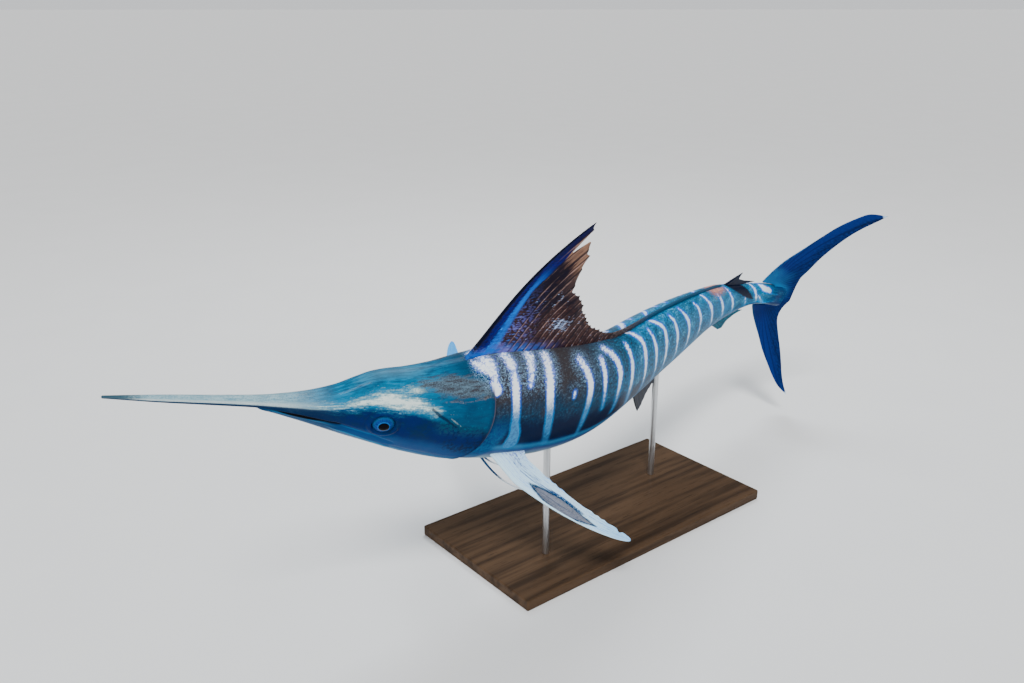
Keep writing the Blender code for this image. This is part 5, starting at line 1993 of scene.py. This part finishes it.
# The rays of each median fin: root station, end station and height.
DORSAL_LOW = (
    (1.243, 1.259, 0.015),
    (1.400, 1.418, 0.013),
    (1.600, 1.620, 0.011),
    (1.800, 1.822, 0.009),
    (1.960, 1.984, 0.007),
    (2.020, 2.040, 0.003),
)
DORSAL_SECOND = (
    (2.060, 2.168, 0.044),
    (2.080, 2.162, 0.034),
    (2.105, 2.160, 0.021),
    (2.130, 2.206, 0.014),
    (2.155, 2.286, 0.009),
)
ANAL_FIRST = (
    (1.600, 1.782, 0.214),
    (1.625, 1.790, 0.196),
    (1.655, 1.790, 0.140),
    (1.700, 1.812, 0.096),
    (1.760, 1.846, 0.058),
    (1.830, 1.892, 0.028),
    (1.880, 1.920, 0.012),
)
ANAL_SECOND = (
    (2.060, 2.170, 0.066),
    (2.085, 2.196, 0.068),
    (2.110, 2.208, 0.044),
    (2.140, 2.246, 0.030),
    (2.165, 2.292, 0.022),
)
DORSAL_TALL = (
    (0.818, 1.018, 0.342),
    (0.838, 1.021, 0.324),
    (0.853, 0.985, 0.262),
    (0.866, 1.028, 0.299),
    (0.880, 1.028, 0.268),
    (0.897, 1.039, 0.262),
    (0.915, 1.031, 0.228),
    (0.945, 1.038, 0.166),
    (1.004, 1.077, 0.136),
    (1.038, 1.095, 0.105),
    (1.123, 1.155, 0.054),
    (1.202, 1.222, 0.022),
    (1.240, 1.256, 0.016),
)
# The edges of the tail lobes: station behind the root, and height.
UPPER_FRONT = (
    (0.000, 0.000),
    (0.000, 0.0405),
    (-0.060, 0.0470),
    (-0.035, 0.085),
    (-0.002, 0.131),
    (0.033, 0.177),
    (0.072, 0.241),
    (0.108, 0.304),
    (0.136, 0.345),
    (0.168, 0.383),
    (0.213, 0.403),
)
UPPER_REAR = (
    (0.087, 0.000),
    (0.083, 0.0395),
    (0.081, 0.062),
    (0.081, 0.085),
    (0.094, 0.130),
    (0.106, 0.175),
    (0.126, 0.232),
    (0.146, 0.281),
    (0.164, 0.318),
    (0.188, 0.360),
    (0.213, 0.403),
)
LOWER_FRONT = (
    (0.000, 0.000),
    (0.000, 0.0360),
    (-0.056, 0.0450),
    (-0.034, 0.076),
    (-0.006, 0.107),
    (0.043, 0.157),
    (0.089, 0.206),
    (0.135, 0.246),
    (0.180, 0.281),
    (0.221, 0.304),
    (0.257, 0.314),
)
LOWER_REAR = (
    (0.087, 0.000),
    (0.076, 0.036),
    (0.075, 0.052),
    (0.077, 0.068),
    (0.084, 0.086),
    (0.112, 0.128),
    (0.142, 0.168),
    (0.172, 0.210),
    (0.200, 0.250),
    (0.229, 0.287),
    (0.257, 0.314),
)


@dataclass(frozen=True)
class Studio:
    """Floor, lights and camera. The camera's place and axes are in the fish's own frame."""

    lens_px: float = 952.18
    width_px: int = 1024
    camera_at: tuple = (-0.129, -1.496, 1.272)
    camera_right: tuple = (0.8683, -0.3600, 0.3411)
    camera_down: tuple = (0.0576, -0.6099, -0.7903)
    camera_ahead: tuple = (0.4926, 0.7059, -0.5089)
    sensor: float = 36.0
    floor_size: float = 400.0
    floor_drop: float = 0.0006
    camera_reach: float = 100.0
    sky: tuple = (0.95, 0.97, 1.0, 1.0)
    sky_strength: float = 0.34
    horizon_gain: float = 0.52
    aim: tuple = (0.0, 0.0, 0.7)
    sun_from: tuple = (-0.42, -0.46, 0.80)
    sun_away: float = 8.0
    sun_power: float = 3.3
    sun_width: float = math.radians(16.0)
    sun_colour: Colour = (1.0, 0.99, 0.97)
    soft_lights: tuple = (
        ("fill", (-3.4, -2.4, 1.8), 2.0, 40, (0.90, 0.96, 1.0)),
        ("rim", (1.2, 1.6, 4.2), 1.6, 110, (0.92, 0.97, 1.0)),
    )

    def _add(self, name: str, data: object, axes: Sequence[Array], at: Array) -> bpy.types.Object:
        """Puts an object into the scene by its axes.

        Args:
            name: Its name.
            data: Its mesh, light or camera.
            axes: Its x, y and z axes.
            at: Its place.

        Returns:
            The object.
        """
        obj = bpy.data.objects.new(name, data)
        bpy.context.scene.collection.objects.link(obj)
        rows = np.eye(4)
        rows[:3, :] = np.stack([*axes, at], 1)
        obj.matrix_world = Matrix(rows.tolist())
        return obj

    def floor(self, material: bpy.types.Material) -> None:
        """Lays a wide floor just under the stand.

        Args:
            material: Its material.
        """
        size = self.floor_size
        drop = -self.floor_drop
        mesh = bpy.data.meshes.new("floor")
        corners = [(-size, -size, drop), (size, -size, drop), (size, size, drop), (-size, size, drop)]
        mesh.from_pydata(corners, [], [(0, 1, 2, 3)])
        mesh.materials.append(material)
        self._add("floor", mesh, np.eye(3), np.zeros(3))

    def lamp(
        self, name: str, kind: str, power: float, colour: Colour, at: Array, way: Array
    ) -> bpy.types.Light:
        """Hangs one light.

        Args:
            name: Its name.
            kind: SUN or AREA.
            power: Its strength.
            colour: Its colour.
            at: Its place.
            way: The way back from what it shines on.

        Returns:
            The light.
        """
        light = bpy.data.lights.new(name, kind)
        light.energy = power
        light.color = colour
        back = unit(way)
        right = unit(np.cross([0.0, 1.0, 0.001], back))
        self._add(name, light, (right, np.cross(back, right), back), at)
        return light

    def lights(self) -> None:
        """Lights the model from above with soft fill; the far room is as pale as the far floor."""
        way = np.array(self.sun_from)
        key = self.lamp("key", "SUN", self.sun_power, self.sun_colour, unit(way) * self.sun_away, way)
        key.angle = self.sun_width
        for name, at, size, power, colour in self.soft_lights:
            soft = self.lamp(name, "AREA", power, colour, np.array(at), np.array(at) - self.aim)
            soft.shape = "SQUARE"
            soft.size = size
        world = bpy.data.worlds.new("studio")
        world.use_nodes = True
        graph = Graph(world.node_tree)
        way = Sock(graph, graph.node("TexCoord").outputs["Generated"])
        height = Sock(graph, graph.node("SeparateXYZ", {}, {0: way}).outputs["Z"])
        background = graph.tree.nodes["Background"]
        graph.feed(self.sky, background.inputs["Color"])
        strength = height.step(0.50, 0.02) * self.horizon_gain + self.sky_strength
        graph.feed(strength, background.inputs["Strength"])
        bpy.context.scene.world = world

    def camera(self) -> None:
        """Sets the camera of the photo's framing."""
        lens = bpy.data.cameras.new("camera")
        lens.sensor_fit = "HORIZONTAL"
        lens.sensor_width = self.sensor
        lens.lens = self.lens_px * self.sensor / self.width_px
        lens.clip_end = self.camera_reach
        right, down, ahead = map(ATTITUDE.turn, (self.camera_right, self.camera_down, self.camera_ahead))
        at = ATTITUDE.world(self.camera_at)
        bpy.context.scene.camera = self._add("camera", lens, (right, -down, -ahead), at)


def build_fins() -> None:
    """Builds the fins on the middle plane, the tail fin and the paired fins."""
    first = MedianFin("first_dorsal_fin", DORSAL_TALL, 0.0205, bow=0.79, fray=0.006, sway=0.003)
    first.build(DorsalMembrane().build())
    dark = SmallFinMembrane("dark_membrane", (0.001, 0.003, 0.014), (0.004, 0.012, 0.045)).build()
    brown = SmallFinMembrane(
        "low_dorsal_membrane",
        base=(0.018, 0.014, 0.018),
        light=(0.150, 0.105, 0.100),
        rear=(0.002, 0.085, 0.180),
    ).build()
    teal = SmallFinMembrane("teal_membrane", (0.003, 0.045, 0.090), (0.010, 0.190, 0.280)).build()
    MedianFin("dorsal_fin_low", DORSAL_LOW, 0.020, rows=14, front_thick=1.0, fray=0.002).build(brown)
    MedianFin("second_dorsal_fin", DORSAL_SECOND, 0.0125, rows=20).build(dark)
    MedianFin("first_anal_fin", ANAL_FIRST, 0.0140, below=True, fray=0.006).build(dark)
    MedianFin("second_anal_fin", ANAL_SECOND, 0.0125, below=True, rows=24).build(teal)
    tail = TailMembrane().build()
    TailLobe("caudal_fin_upper", 1, UPPER_FRONT, UPPER_REAR).build(tail)
    TailLobe("caudal_fin_lower", -1, LOWER_FRONT, LOWER_REAR).build(tail)
    # The left fin's near-white base is partly its own pale colour and partly painted light on its upper face;
    # the right fin keeps a deeper blue.
    left = PectoralSkin("pectoral_left", 1.0, base=(0.560, 0.820, 1.000), tint=(0.040, 0.270, 0.820))
    right = PectoralSkin("pectoral_right", 0.0, base=(0.030, 0.330, 0.800), tint=(0.160, 0.560, 0.920))
    pale = PelvicSkin().build()
    PectoralFin("pectoral_fin_left", Side.LEFT, (1.216, 0.316, -0.243)).build(left.build())
    PectoralFin("pectoral_fin_right", Side.RIGHT, (1.238, 0.434, -0.169), nick=0.0).build(right.build())
    PelvicFin("pelvic_fin_left", Side.LEFT).build(pale)
    PelvicFin("pelvic_fin_right", Side.RIGHT).build(pale)


def main() -> None:
    """Builds the model and its studio."""
    logging.basicConfig(level=logging.INFO, format="%(message)s")
    SkinPiece().build(MarlinSkin().build())
    eye = EyeGlass().build()
    for side in Side:
        Eye(side).build(eye)
    build_fins()
    steel = StandSteel().build()
    for name, material in (
        ("stand_base", StandOak().build()),
        ("stand_rod_front", steel),
        ("stand_rod_rear", steel),
    ):
        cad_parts[name].data.materials[0] = material
        LOG.info("%s: its own solid, with %s", name, material.name)
    studio = Studio()
    studio.floor(StudioFloor().build())
    studio.lights()
    studio.camera()
    bpy.context.view_layer.update()


if __name__ == "__main__":
    main()
